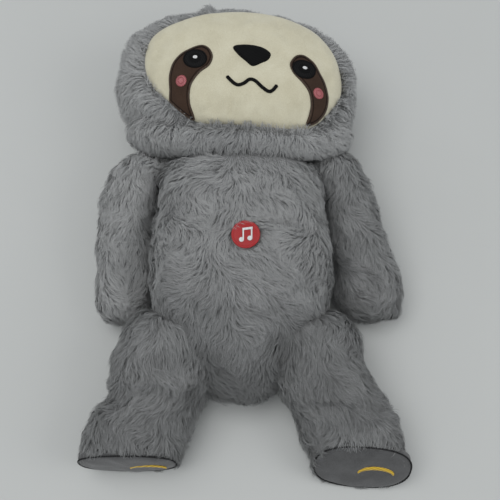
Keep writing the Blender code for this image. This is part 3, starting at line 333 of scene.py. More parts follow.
def grid_normals(grid):
    """Outward normals of a grid of rings."""
    middle = grid.mean(axis=1, keepdims=True)
    around = np.roll(grid, -1, axis=1) - np.roll(grid, 1, axis=1)
    along = np.gradient(grid, axis=0)
    normal = np.cross(along, around)
    small = np.linalg.norm(normal, axis=-1) < 1e-12
    normal = unit(normal)
    sign = np.sign(((grid - middle) * normal).sum(axis=-1).mean())
    normal = normal * sign
    ends = unit(middle[:, 0] - np.array([middle[len(middle) // 2, 0]]))
    normal[small] = np.broadcast_to(ends[:, None], normal.shape)[small]
    return normal


def grid_mesh(grid):
    """Vertices and faces of a grid whose first and last rings are closed ends."""
    rings, sides = grid.shape[:2]
    inner = grid[1:-1].reshape(-1, 3)
    verts = np.vstack([inner, grid[:1, 0], grid[-1:, 0]])
    faces = []
    for i in range(rings - 3):
        for j in range(sides):
            k = (j + 1) % sides
            faces.append((i * sides + j, i * sides + k, (i + 1) * sides + k, (i + 1) * sides + j))
    top = len(inner)
    last = (rings - 3) * sides
    for j in range(sides):
        k = (j + 1) % sides
        faces.append((k, j, top))
        faces.append((last + j, last + k, top + 1))
    return verts, faces


def in_scene(name, data):
    """A new object in the scene."""
    made = bpy.data.objects.new(name, data)
    bpy.context.scene.collection.objects.link(made)
    return made


def add_mesh(name, verts, faces, finish, smooth=True):
    """A named object from points and faces, its normals made to point out."""
    mesh = bpy.data.meshes.new(name)
    mesh.from_pydata([tuple(v) for v in verts], [], [tuple(f) for f in faces])
    shape = bmesh.new()
    shape.from_mesh(mesh)
    bmesh.ops.recalc_face_normals(shape, faces=shape.faces)
    shape.to_mesh(mesh)
    shape.free()
    if smooth:
        mesh.shade_smooth()
    mesh.materials.append(finish)
    return in_scene(name, mesh)


def triples(items, name, kind=float):
    """A property of three values of a mesh's elements as an array."""
    found = np.empty(len(items) * 3, dtype=kind)
    items.foreach_get(name, found)
    return found.reshape(-1, 3)


def points_of(mesh):
    """A mesh's points as an array."""
    return triples(mesh.vertices, "co")


def swollen(made, held, most=SWELL, loose=0.02, bend=0.5):
    """Let a mesh swell as stuffed cloth that is a little loose, and read where its points go.

    held: for each point 1 where it stays and 0 where it is free. most: how far a point may move.
    """
    start = points_of(made.data)
    group = made.vertex_groups.new(name="held")
    for index in np.flatnonzero(held > 0).tolist():
        group.add([index], float(held[index]), "REPLACE")
    sheet = made.modifiers.new("cloth", "CLOTH").settings
    sheet.mass = CLOTH_MASS
    sheet.use_pressure = True
    sheet.uniform_pressure_force = CLOTH_PRESSURE
    sheet.effector_weights.gravity = 0
    sheet.vertex_group_mass = "held"
    sheet.shrink_min = -loose
    sheet.bending_stiffness = bend
    for number in range(1, CLOTH_FRAMES + 1):
        bpy.context.scene.frame_set(number)
    graph = bpy.context.evaluated_depsgraph_get()
    move = points_of(made.evaluated_get(graph).data) - start
    made.modifiers.clear()
    made.vertex_groups.clear()
    bpy.context.scene.frame_set(1)
    far = np.linalg.norm(move, axis=1, keepdims=True)
    return start + move * np.minimum(most / np.maximum(far, 1e-9), 1)


def swollen_grid(grid, held):
    """A closed grid after it swells as stuffed cloth."""
    verts, faces = grid_mesh(grid)
    made = add_mesh("swelling", verts, faces, BACKING)
    place = swollen(made, np.concatenate([held[1:-1].ravel(), held[:1, 0], held[-1:, 0]]))
    bpy.data.objects.remove(made)
    grid = grid.copy()
    grid[1:-1] = place[:-2].reshape(grid[1:-1].shape)
    grid[0], grid[-1] = place[-2], place[-1]
    return grid


class Waves:
    """Smooth noise over space: a sum of waves of about one size."""

    def __init__(self, seed, size, count=10):
        rng = np.random.default_rng(seed)
        turn = unit(rng.normal(size=(count, 3)))
        self.k = turn * (2 * np.pi / size * rng.uniform(0.6, 1.4, (count, 1)))
        self.phase = rng.uniform(0, 2 * np.pi, count)

    def __call__(self, points):
        return np.sin(points @ self.k.T + self.phase).sum(axis=-1) / math.sqrt(len(self.phase) / 2)


def inside_outline(points, outline):
    """Which 2-D points lie inside a closed outline."""
    x, y = points[:, 0], points[:, 1]
    found = np.zeros(len(points), dtype=bool)
    for (x0, y0), (x1, y1) in zip(outline, np.roll(outline, -1, axis=0)):
        crosses = (y0 > y) != (y1 > y)
        with np.errstate(divide="ignore", invalid="ignore"):
            at = (x1 - x0) * (y - y0) / (y1 - y0) + x0
        found ^= crosses & (x < at)
    return found


def scatter(grid, normals, rng):
    """Random roots over a grid, even by area: places, normals, directions from ring to ring
    and how far along the grid they lie."""
    g = np.concatenate([grid, grid[:, :1]], axis=1)
    n = np.concatenate([normals, normals[:, :1]], axis=1)
    a, b, c, d = g[:-1, :-1], g[1:, :-1], g[1:, 1:], g[:-1, 1:]
    area = (np.linalg.norm(np.cross(b - a, d - a), axis=-1)
            + np.linalg.norm(np.cross(b - c, d - c), axis=-1)) / 2
    share = area.ravel() / area.sum()
    count = int(area.sum() * DENSITY)
    cell = np.sort(rng.choice(len(share), size=count, p=share))
    i, j = np.divmod(cell, area.shape[1])
    s = rng.random((count, 1))
    t = rng.random((count, 1))
    mix = ((1 - s) * (1 - t), s * (1 - t), s * t, (1 - s) * t)
    corners = ((i, j), (i + 1, j), (i + 1, j + 1), (i, j + 1))
    place, normal = (sum(w * values[at] for w, at in zip(mix, corners)) for values in (g, n))
    along = (1 - t) * (g[i + 1, j] - g[i, j]) + t * (g[i + 1, j + 1] - g[i, j + 1])
    return place, unit(normal), unit(along), (i + s[:, 0]) / (len(grid) - 1)


def form_of(made):
    """The points, triangles and normals of an object's mesh."""
    mesh = made.data
    mesh.calc_loop_triangles()
    return (points_of(mesh), triples(mesh.loop_triangles, "vertices", np.int32),
            triples(mesh.vertex_normals, "vector"))


def remeshed(made, voxel):
    """Give an object a modifier that makes its mesh even."""
    even = made.modifiers.new("even", "REMESH")
    even.mode = "VOXEL"
    even.voxel_size = voxel


def applied(made):
    """Apply an object's modifiers to its mesh."""
    graph = bpy.context.evaluated_depsgraph_get()
    mesh = bpy.data.meshes.new_from_object(made.evaluated_get(graph))
    made.modifiers.clear()
    made.data = mesh
    return made


def blended(name, grids, voxel, rounds):
    """One smooth closed form around several closed grids."""
    verts, faces, count = [], [], 0
    for grid in grids:
        more, ring_faces = grid_mesh(grid)
        verts.append(more)
        faces += [tuple(index + count for index in face) for face in ring_faces]
        count += len(more)
    made = add_mesh(name, np.vstack(verts), faces, BACKING)
    remeshed(made, voxel)
    soft = made.modifiers.new("soft", "SMOOTH")
    soft.factor = 0.5
    soft.iterations = rounds
    return applied(made)


def scatter_form(form, rng):
    """Random roots over a mesh, even by area: places and normals."""
    verts, faces, normals = form
    a, b, c = (verts[faces[:, index]] for index in range(3))
    area = np.linalg.norm(np.cross(b - a, c - a), axis=1) / 2
    count = int(area.sum() * DENSITY)
    cell = np.sort(rng.choice(len(area), size=count, p=area / area.sum()))
    r = np.sqrt(rng.random((count, 1)))
    t = rng.random((count, 1))
    mix = (1 - r, r * (1 - t), r * t)
    place, normal = (sum(w * values[faces[cell, index]] for index, w in enumerate(mix))
                     for values in (verts, normals))
    return place, unit(normal)


def turned_about(v, axis, angle):
    """Vectors turned about unit axes that they are square to."""
    return v * np.cos(angle)[:, None] + np.cross(axis, v) * np.sin(angle)[:, None]


def guides(places, normals, flow, reach, height, depth, curl, tree):
    """Curves that run over a surface from clump centres: points and normals at each step."""
    count = len(places)
    points = [places - normals * depth[:, None]]
    ups = [normals]
    on = places.copy()
    up = normals.copy()
    way = flow.copy()
    for step in range(1, STRAND_STEPS + 1):
        share = step / STRAND_STEPS
        on = on + way * (reach / STRAND_STEPS)[:, None]
        for index in range(count):
            hit, normal = tree.find_nearest(on[index])[:2]
            if hit is not None:
                on[index] = hit
                up[index] = normal
        way = laid_flat(way, up)
        way = turned_about(way, up, curl)
        rise = 1.0 - (1.0 - min(share * 1.35, 1.0)) ** 2.0 - 0.10 * max(share - 0.75, 0.0) * 4
        lift = (depth + height) * rise - depth
        points.append(on + up * lift[:, None])
        ups.append(up.copy())
    return np.stack(points, axis=1), np.stack(ups, axis=1)


def grow(name, tree, root, seed):
    """A pile of tapered strands in soft clumps as one mesh, from a set of roots."""
    rng = np.random.default_rng(seed)
    count = len(root["place"])
    clumps = max(int(count / DENSITY / CLUMP_AREA), 8)
    chosen = rng.choice(count, size=clumps, replace=False)
    kd = KDTree(clumps)
    for index, which in enumerate(chosen):
        kd.insert(root["place"][which], index)
    kd.balance()
    near = np.array([[(found[1], found[2]) for found in kd.find_n(p, 3)] for p in root["place"]])
    owners = near[..., 0].astype(int)
    weight = 1.0 / (near[..., 1] + 0.0004) ** 2
    weight = (weight / weight.sum(axis=1, keepdims=True))[:, :, None, None]
    owner = owners[:, 0]
    middle = pick(root, chosen)
    reach = middle["length"] * rng.uniform(0.85, 1.1, clumps)
    height = middle["height"] + rng.uniform(-0.0007, 0.0005, clumps)
    flow = turned_about(middle["flow"], middle["normal"], rng.normal(0, 0.16, clumps))
    curl = rng.normal(0, 0.10, clumps) + middle["curl"]
    points, ups = guides(middle["place"], middle["normal"], flow, reach, height, middle["depth"],
                         curl, tree)
    guide = points[owner]
    up = ups[owner]
    offset = ((points - points[:, :1])[owners] * weight).sum(axis=1)
    stretch = rng.uniform(0.75, 1.08, (count, 1, 1)) * np.minimum(
        root["length"] / middle["length"][owner], 1.0)[:, None, None]
    skin_place = root["place"] - root["normal"] * root["depth"][:, None]
    line = skin_place[:, None] + offset * stretch
    share = np.linspace(0, 1, STRAND_STEPS + 1)[None, :, None]
    stray = rng.random((count, 1, 1)) < STRAY_SHARE
    pull = rng.uniform(0.05, 0.42, (count, 1, 1)) * ~stray
    line = line + (guide - line) * pull * share ** 1.4
    side = unit(np.cross(up, guide[:, -1:] - guide[:, :1]))
    fray = rng.normal(0, 0.00080, (count, 1, 1)) * (1 + 1.4 * stray) * share ** 1.5
    line = line + side * fray
    line = line + up * ((rng.normal(0, 0.00040, (count, 1, 1)) + 0.0007 * stray) * share)
    wave = rng.uniform(0, 2 * np.pi, (count, 1, 1))
    line = line + side * np.sin(wave + share * 5.0) * 0.00022 * share
    line[..., 2] = np.maximum(line[..., 2], FLOOR_GAP + rng.random((count, 1)) * 0.0006)
    roll = rng.normal(0, 0.40, (count, 1, 1))
    tangent = unit(np.gradient(line, axis=1))
    across = unit(np.cross(tangent, up))
    across = across * np.cos(roll) + np.cross(tangent, across) * np.sin(roll)
    taper = np.array(STRAND_TAPER)[None, :, None]
    half = STRAND_WIDTH / 2 * rng.uniform(0.7, 1.25, (count, 1, 1)) * taper
    per = 2 * STRAND_STEPS + 1
    verts = np.empty((count, per, 3))
    verts[:, 0:-1:2] = (line - across * half)[:, :-1]
    verts[:, 1:-1:2] = (line + across * half)[:, :-1]
    verts[:, -1] = line[:, -1]
    base = (np.arange(count) * per)[:, None]
    loops = [base + 2 * step + np.array([0, 1, 3, 2]) for step in range(STRAND_STEPS - 1)]
    loops.append(base + per + np.array([-3, -2, -1]))
    loop = np.concatenate(loops, axis=1)
    sizes = np.array([4] * (STRAND_STEPS - 1) + [3])
    starts = np.concatenate([[0], np.cumsum(sizes)[:-1]])
    starts = (np.arange(count)[:, None] * sizes.sum() + starts).ravel()
    mesh = bpy.data.meshes.new(name)
    mesh.vertices.add(count * per)
    mesh.vertices.foreach_set("co", verts.ravel())
    mesh.loops.add(loop.size)
    mesh.loops.foreach_set("vertex_index", loop.ravel().astype(np.int32))
    mesh.polygons.add(len(starts))
    mesh.polygons.foreach_set("loop_start", starts.astype(np.int32))
    mesh.update(calc_edges=True)
    mesh.shade_smooth()
    order = np.empty(count, dtype=int)
    order[np.lexsort((np.arange(count), owner))] = np.arange(count)
    cells = math.ceil(math.sqrt(count))
    cell_u = (order % cells) / cells
    cell_v = (order // cells) / cells
    strip_u = np.empty(per)
    strip_v = np.empty(per)
    strip_u[0:-1:2], strip_u[1:-1:2], strip_u[-1] = 0.1, 0.9, 0.5
    strip_v[0:-1:2] = strip_v[1:-1:2] = 0.08 + 0.84 * np.arange(STRAND_STEPS) / STRAND_STEPS
    strip_v[-1] = 0.92
    uv = np.stack([cell_u[:, None] + strip_u / cells, cell_v[:, None] + strip_v / cells], axis=-1)
    layer = mesh.uv_layers.new(name="OFBake")
    layer.uv.foreach_set("vector", uv.reshape(-1, 2)[loop.ravel()].ravel())
    tone = (root["tone"][:, None] + rng.normal(0, 0.10, (count, 1))
            + rng.normal(0, 0.030, clumps)[owner][:, None])
    depth = np.empty(per)
    depth[0:-1:2] = depth[1:-1:2] = np.arange(STRAND_STEPS) / STRAND_STEPS
    depth[-1] = 1.0
    # Darker towards the root: partly the pile's own darker base, partly painted shade deep in the
    # pile
    tone = tone + (depth[None] - 1.0) * ROOT_SHADE
    mesh.attributes.new("tone", "FLOAT", "POINT").data.foreach_set("value", tone.ravel())
    flat = unit(np.cross(across, tangent) * 0.25 + up * 0.75)
    facing = np.empty((count, per, 3))
    facing[:, 0:-1:2] = facing[:, 1:-1:2] = flat[:, :-1]
    facing[:, -1] = flat[:, -1]
    mesh.normals_split_custom_set_from_vertices(facing.reshape(-1, 3))
    mesh.materials.append(GREY)
    return in_scene(name, mesh)


# Materials
class Finish:
    """A node material and short ways to add nodes to it."""

    def __init__(self, name):
        self.made = bpy.data.materials.new(name)
        self.made.use_nodes = True
        self.tree = self.made.node_tree
        self.shader = self.tree.nodes["Principled BSDF"]

    def node(self, kind, **values):
        new = self.tree.nodes.new(kind)
        for key, value in values.items():
            if key in new.inputs:
                new.inputs[key].default_value = value
            else:
                setattr(new, key, value)
        return new

    def link(self, source, target):
        self.tree.links.new(source, target)

    def put(self, **values):
        for key, value in values.items():
            self.shader.inputs[key.replace("_", " ")].default_value = value

    def ramp(self, source, stops):
        new = self.node("ShaderNodeValToRGB")
        band = new.color_ramp
        while len(band.elements) < len(stops):
            band.elements.new(0.5)
        for element, (at, color) in zip(band.elements, stops):
            element.position = at
            element.color = (*color, 1)
        self.link(source, new.inputs["Fac"])
        return new.outputs["Color"]

    def coords(self):
        return self.node("ShaderNodeTexCoord").outputs["Object"]

    def noise(self, scale, detail=3.0, rough=0.55):
        new = self.node("ShaderNodeTexNoise", Scale=scale, Detail=detail, Roughness=rough)
        self.link(self.coords(), new.inputs["Vector"])
        return new.outputs["Fac"]

    def bump(self, source, strength, distance, after=None):
        new = self.node("ShaderNodeBump", Strength=strength, Distance=distance)
        self.link(source, new.inputs["Height"])
        if after is not None:
            self.link(after, new.inputs["Normal"])
        self.link(new.outputs["Normal"], self.shader.inputs["Normal"])
        return new.outputs["Normal"]


def pile_finish(name, stops):
    """The strands of the pile, coloured by their tone: dark at the root, pale at the tip; the tone
    also carries painted light and shade.
    """
    f = Finish(name)
    tone = f.node("ShaderNodeAttribute", attribute_name="tone").outputs["Fac"]
    f.link(f.ramp(tone, stops), f.shader.inputs["Base Color"])
    f.put(Roughness=0.62, Sheen_Weight=0.25, Sheen_Roughness=0.45, Specular_IOR_Level=0.25)
    return f.made


def skin_finish(name, dark, pale):
    """The backing cloth that the pile grows from."""
    f = Finish(name)
    f.link(f.ramp(f.noise(900.0), ((0.3, dark), (0.7, pale))), f.shader.inputs["Base Color"])
    f.put(Roughness=0.95, Specular_IOR_Level=0.1)
    f.bump(f.noise(1500.0), 0.6, 0.0006)
    return f.made


def short_pile(name, dark, middle, pale, sheen=0.35):
    """Short dense pile: a fine nap with soft cloudy patches."""
    f = Finish(name)
    cloud = f.noise(70.0, 2.0)
    nap = f.noise(1700.0, 2.0, 0.7)
    mixed = f.node("ShaderNodeMix", data_type="FLOAT")
    mixed.inputs["Factor"].default_value = 0.35
    f.link(nap, mixed.inputs["A"])
    f.link(cloud, mixed.inputs["B"])
    f.link(f.ramp(mixed.outputs["Result"], ((0.30, dark), (0.50, middle), (0.70, pale))),
           f.shader.inputs["Base Color"])
    f.put(Roughness=0.85, Sheen_Weight=sheen, Sheen_Roughness=0.5, Specular_IOR_Level=0.2)
    first = f.bump(cloud, 0.25, 0.0012)
    f.bump(nap, 0.45, 0.0004, first)
    return f.made


def thread_finish(name, dark, pale, spacing, turn=0.0, rough=0.42, sheen=0.15, gloss=0.4):
    """Satin stitches side by side."""
    f = Finish(name)
    mapping = f.node("ShaderNodeMapping")
    mapping.inputs["Rotation"].default_value = (0, 0, turn)
    f.link(f.coords(), mapping.inputs["Vector"])
    wave = f.node("ShaderNodeTexWave", Scale=1.0 / spacing / 6.2832, Distortion=0.8, Detail=1.0)
    wave.inputs["Detail Scale"].default_value = 2.0
    f.link(mapping.outputs["Vector"], wave.inputs["Vector"])
    f.link(f.ramp(wave.outputs["Fac"], ((0.1, dark), (0.75, pale))), f.shader.inputs["Base Color"])
    f.put(Roughness=rough, Sheen_Weight=sheen, Sheen_Roughness=0.4, Specular_IOR_Level=gloss)
    f.bump(wave.outputs["Fac"], 0.5, 0.0003)
    return f.made


def plain_finish(name, dark, pale, scale, rough, metal=0.0, relief=0.1):
    """Moulded or rolled stock with a fine grain."""
    f = Finish(name)
    grain = f.noise(scale, 4.0)
    f.link(f.ramp(grain, ((0.3, dark), (0.7, pale))), f.shader.inputs["Base Color"])
    f.put(Roughness=rough, Metallic=metal)
    f.bump(grain, relief, 0.0002)
    return f.made


GREY = pile_finish("long_grey_pile", ((0.0, (0.20, 0.203, 0.202)), (0.45, (0.35, 0.354, 0.353)),
                                      (0.95, (0.50, 0.503, 0.500))))
BACKING = skin_finish("grey_backing", (0.19, 0.192, 0.192), (0.27, 0.272, 0.272))
CREAM = short_pile("cream_pile", (0.54, 0.50, 0.36), (0.64, 0.60, 0.45), (0.72, 0.69, 0.54))
BROWN = short_pile("brown_velour", (0.028, 0.0145, 0.0090), (0.044, 0.0240, 0.0150),
                   (0.062, 0.0360, 0.0240), 0.12)
BROWN_EDGE = thread_finish("brown_stitches", (0.026, 0.015, 0.009), (0.070, 0.042, 0.024),
                           0.0006, 0.4)
EYE = thread_finish("eye_stitches", (0.0032, 0.0032, 0.0034), (0.0090, 0.0090, 0.0096), 0.0006,
                    0.4, 0.6, 0.0, 0.12)
BLACK = thread_finish("black_stitches", (0.0020, 0.0020, 0.0020), (0.0055, 0.0055, 0.006), 0.0006,
                      1.2, 0.7, 0.0, 0.12)
WHITE = thread_finish("white_stitches", (0.55, 0.55, 0.55), (0.85, 0.85, 0.85), 0.0005)
PINK = thread_finish("pink_stitches", (0.33, 0.080, 0.092), (0.56, 0.205, 0.215), 0.0005, 0.6)
PINK_EDGE = thread_finish("pink_stitches_edge", (0.22, 0.035, 0.04), (0.45, 0.12, 0.13), 0.0005,
                          0.6)
RED = thread_finish("red_stitches", (0.26, 0.007, 0.009), (0.50, 0.026, 0.028), 0.0006, 0.9)
YELLOW = thread_finish("yellow_stitches", (0.45, 0.25, 0.01), (0.85, 0.58, 0.05), 0.0006, 1.3)
SOLE = short_pile("sole_velour", (0.05, 0.05, 0.05), (0.092, 0.092, 0.094), (0.135, 0.135, 0.137),
                  0.25)
SEAM = thread_finish("seam_thread", (0.012, 0.012, 0.012), (0.035, 0.035, 0.036), 0.0008, 0.0,
                     0.8, 0.0, 0.1)
FIBRE = skin_finish("loose_fibre", (0.70, 0.70, 0.68), (0.88, 0.88, 0.86))
TAPE = thread_finish("woven_tape", (0.06, 0.06, 0.06), (0.14, 0.14, 0.14), 0.0005, 0.0, 0.8)
PLASTIC = plain_finish("moulded_plastic", (0.74, 0.74, 0.72), (0.82, 0.82, 0.80), 900.0, 0.42)
DARK = plain_finish("black_plastic", (0.015, 0.015, 0.015), (0.03, 0.03, 0.03), 900.0, 0.45)
BOARD = plain_finish("circuit_green", (0.01, 0.14, 0.04), (0.02, 0.22, 0.07), 300.0, 0.35)
STEEL = plain_finish("plated_steel", (0.52, 0.52, 0.52), (0.64, 0.64, 0.64), 700.0, 0.28, 1.0)
BRASS = plain_finish("brass", (0.62, 0.43, 0.16), (0.74, 0.54, 0.24), 700.0, 0.3, 1.0)


# Skins: closed forms a little inside the frame, with the dishes of the joints
def dish(points, center, radii, inward):
    """Push points that lie inside an ellipsoid along a direction to its far side."""
    local = (points - center) / radii
    step = inward / radii
    inside = (local ** 2).sum(axis=-1) < 1
    a = (step ** 2).sum()
    b = (local * step).sum(axis=-1)
    c = (local ** 2).sum(axis=-1) - 1
    t = (-b + np.sqrt(np.maximum(b * b - a * c, 0))) / a
    return np.where(inside[..., None], points + inward * t[..., None], points)


def skin(name, grid, node):
    """A closed backing cloth that stands for a stuffed node."""
    verts, faces = grid_mesh(grid)
    made = add_mesh(name, verts, faces, BACKING)
    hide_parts(node)
    return made


def tree_of(grid):
    """A search tree over a grid's surface, faces pointing out."""
    verts, faces = grid_mesh(grid)
    middle = len(grid) // 2
    face = faces[(middle - 1) * grid.shape[1]]
    a, b, c = (verts[index] for index in face[:3])
    if (np.cross(b - a, c - a) * grid_normals(grid)[middle, 0]).sum() < 0:
        faces = [face[::-1] for face in faces]
    return BVHTree.FromPolygons([tuple(v) for v in verts], faces)


def depth_in(tree, points):
    """How deep points lie below a closed surface; above it is negative."""
    found = np.empty(len(points))
    for index, point in enumerate(points):
        hit, normal = tree.find_nearest(point)[:2]
        found[index] = (hit - Vector(point)).dot(normal)
    return found


def root_set(place, normal, flow, tone, length, height, depth, curl):
    """The arrays that the pile grows from."""
    flow = laid_flat(flow, normal)
    return {"place": place, "normal": normal, "flow": flow, "tone": tone, "length": length,
            "height": height, "depth": depth, "curl": curl}


def pick(root, keep):
    """The roots that a mask keeps."""
    return {key: value[keep] for key, value in root.items()}


swirl = Waves(11, 0.055)
eddy = Waves(12, 0.020)
shade = Waves(13, 0.030)
puff = Waves(14, 0.026)


def torso_depth(place):
    """How deep the torso's skin lies: nearer the surface around the button's case."""
    close = np.exp(-(off_button(place) / 0.027) ** 4) * (place[..., 2] > TUMMY_HEIGHT)
    return SKIN_DEPTH + (CASE_SKIN_DEPTH - SKIN_DEPTH) * close


def torso_held(place):
    """Where the torso's form stays as it swells: round the module, joints, neck and closure."""
    held = share_of(0.040 - off_button(place), 0.010) * (place[..., 2] > TUMMY_HEIGHT)
    held = np.maximum(held, share_of(place[..., 1] - 0.046, 0.008))
    held = np.maximum(held, on_table(place))
    for _, spot, radius in JOINTS:
        off = np.linalg.norm(place - spot, axis=-1)
        held = np.maximum(held, share_of(radius + 0.012 - off, 0.008))
    return held


raw_torso = torso_grid(96, FINE * 2, 14)
raw_torso = creased(raw_torso, (
    (((0.017, 0.0100, 0.094), (0.026, 0.0120, 0.0935), (0.036, 0.0125, 0.092),
      (0.045, 0.0095, 0.089)), 0.0050, 0.0020),
    (((-0.050, -0.004, 0.085), (-0.042, -0.008, 0.089), (-0.032, -0.018, 0.092),
      (-0.025, -0.034, 0.090)), 0.0070, 0.0014),
    (((0.046, -0.036, 0.082), (0.040, -0.040, 0.084), (0.022, -0.050, 0.080),
      (0.008, -0.062, 0.070)), 0.0060, 0.0018),
))
raw_torso = swollen_grid(raw_torso, torso_held(raw_torso))
torso_up = grid_normals(raw_torso)
torso_skin_grid = raw_torso - torso_up * torso_depth(raw_torso)[..., None]
for side, spot, radius in JOINTS:
    torso_skin_grid = dish(torso_skin_grid, spot, np.full(3, radius + 0.0008),
                           np.array([-side, 0.0, 0.0]))
torso_skin_grid[..., 2] = np.maximum(torso_skin_grid[..., 2], SKIN_FLOOR)
case_low, case_high = (np.array(corner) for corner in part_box("case_front"))
over_case = ((torso_skin_grid[..., :2] > case_low[:2] - 0.003)
             & (torso_skin_grid[..., :2] < case_high[:2] + 0.003)).all(axis=-1)
over_case &= torso_skin_grid[..., 2] > 0.07
torso_skin_grid[..., 2] = np.where(over_case, np.maximum(torso_skin_grid[..., 2],
                                                         case_high[2] + CLOTH_GAP),
                                   torso_skin_grid[..., 2])
torso_tree = tree_of(raw_torso)
torso_skin = skin("torso_skin", torso_skin_grid, "torso_cover")
hole = bmesh.new()
hole.from_mesh(torso_skin.data)
middle = Vector(BUTTON)
bmesh.ops.delete(hole, geom=[v for v in hole.verts if v.co.z > TUMMY_HEIGHT
                             and math.hypot(*(v.co.xy - middle)) < HOLE_CUT], context="VERTS")
for vert in [v for v in hole.verts if v.is_boundary]:
    vert.co.xy = middle + (vert.co.xy - middle).normalized() * HOLE_RADIUS
wall = bmesh.ops.extrude_edge_only(hole, edges=[e for e in hole.edges if e.is_boundary])
for vert in [v for v in wall["geom"] if isinstance(v, bmesh.types.BMVert)]:
    vert.co.z -= HOLE_WALL
hole.to_mesh(torso_skin.data)
hole.free()
torso_skin.data.shade_smooth()


def chin_grid(sides, steps):
    """The roll of the chin over the neck, from jowl to jowl."""
    rows = rows_between((
        (-0.070, 0.1040, 0.051, 0.0060), (-0.0765, 0.0960, 0.053, 0.0115),
        (-0.0700, 0.0890, 0.060, 0.0140), (-0.0560, 0.0815, 0.069, 0.0135),
        (-0.0350, 0.0760, 0.078, 0.0130), (-0.0100, 0.0740, 0.082, 0.0130),
        (0.0150, 0.0730, 0.082, 0.0130), (0.0370, 0.0735, 0.078, 0.0130),
        (0.0550, 0.0780, 0.069, 0.0135), (0.0680, 0.0850, 0.060, 0.0135),
        (0.0740, 0.0930, 0.053, 0.0110), (0.0680, 0.1010, 0.050, 0.0060)), steps)
    place, radius = rows[:, :3], rows[:, 3]
    along = unit(np.gradient(place, axis=0))
    across = unit(np.cross(along, np.array([0, 0, 1.0])))
    over = np.cross(across, along)
    a = np.linspace(0, 2 * np.pi, sides, endpoint=False)
    grid = (place[:, None] + radius[:, None, None] * (across[:, None] * np.cos(a)[None, :, None]
                                                      + over[:, None] * np.sin(a)[None, :, None]))
    return capped(grid, place[0] - along[0] * radius[0] * 0.7,
                  place[-1] + along[-1] * radius[-1] * 0.7)


def off_neck(points, gap):
    """Push points out of the neck, square to its axis."""
    barrel = NECK_HALF + gap
    local = (points - NECK_MIDDLE) / barrel
    around = np.maximum((local[..., 1:] ** 2).sum(axis=-1), 1e-9)
    free = np.maximum(1 - local[..., 0] ** 2, 0)
    scale = np.sqrt(np.maximum(free / around, 1.0))
    local[..., 1:] *= scale[..., None]
    return local * barrel + NECK_MIDDLE


face_outline = closed_curve(FACE_ROWS, 6) * FACE_HALF + FACE_MIDDLE
edge = face_outline - FACE_MIDDLE
edge_angle = np.unwrap(np.arctan2(edge[:, 1], edge[:, 0]))
edge_reach = np.hypot(edge[:, 0], edge[:, 1])
order = np.argsort(np.mod(edge_angle, 2 * np.pi))
edge_angle, edge_reach = np.mod(edge_angle, 2 * np.pi)[order], edge_reach[order]


def panel_share(u, v):
    """How far out on the face panel points are: 1 at its edge."""
    du, dv = u - FACE_MIDDLE[0], v - FACE_MIDDLE[1]
    angle = np.mod(np.arctan2(dv, du), 2 * np.pi)
    return np.hypot(du, dv) / np.interp(angle, edge_angle, edge_reach, period=2 * np.pi)


def head_held(place):
    """Where the head's form stays as it swells: under the face, at the neck and on the table."""
    local = moved(place, to_toy.inverted())
    held = share_of(1.14 - panel_share(local[:, 0], local[:, 1]), 0.08) * (local[:, 2] > 0)
    off = (((place - NECK_MIDDLE) / (NECK_HALF + 0.004)) ** 2).sum(axis=1)
    held = np.maximum(held, share_of(1.5 - off, 0.3))
    return np.maximum(held, on_table(place))


to_toy = head_matrix()
turn3 = np.array(to_toy.to_3x3())
raw_head = head_grid(96, 48)
raw_head[..., 1] -= (0.0028 * bell(raw_head[..., 0] + 0.045, 0.014)
                     * share_of(raw_head[..., 1] / HEAD_HALF[1] - 0.6, 0.3))
head_skin = blended("head_skin", (moved(raw_head, to_toy), chin_grid(32, 6)), 0.0024, 9)
head_out = swollen(head_skin, head_held(points_of(head_skin.data)))
head_skin.data.vertices.foreach_set("co", head_out.ravel())
head_skin.data.update()
head_form = form_of(head_skin)
head_tree = BVHTree.FromPolygons([tuple(v) for v in head_form[0]],
                                 [tuple(f) for f in head_form[1].tolist()])
inner_head = off_neck(head_form[0] - head_form[2] * SKIN_DEPTH, 0.0008)
inner_head[:, 2] = np.maximum(inner_head[:, 2], SKIN_FLOOR)
head_skin.data.vertices.foreach_set("co", inner_head.ravel())
head_skin.data.shade_smooth()
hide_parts("head")


def in_groin(place):
    """Where the inside of a thigh meets the torso, between the legs."""
    return ((np.abs(place[:, 0]) < HIP[0] - 0.010) & (place[:, 2] > 0.028)
            & (place[:, 1] < -0.062))


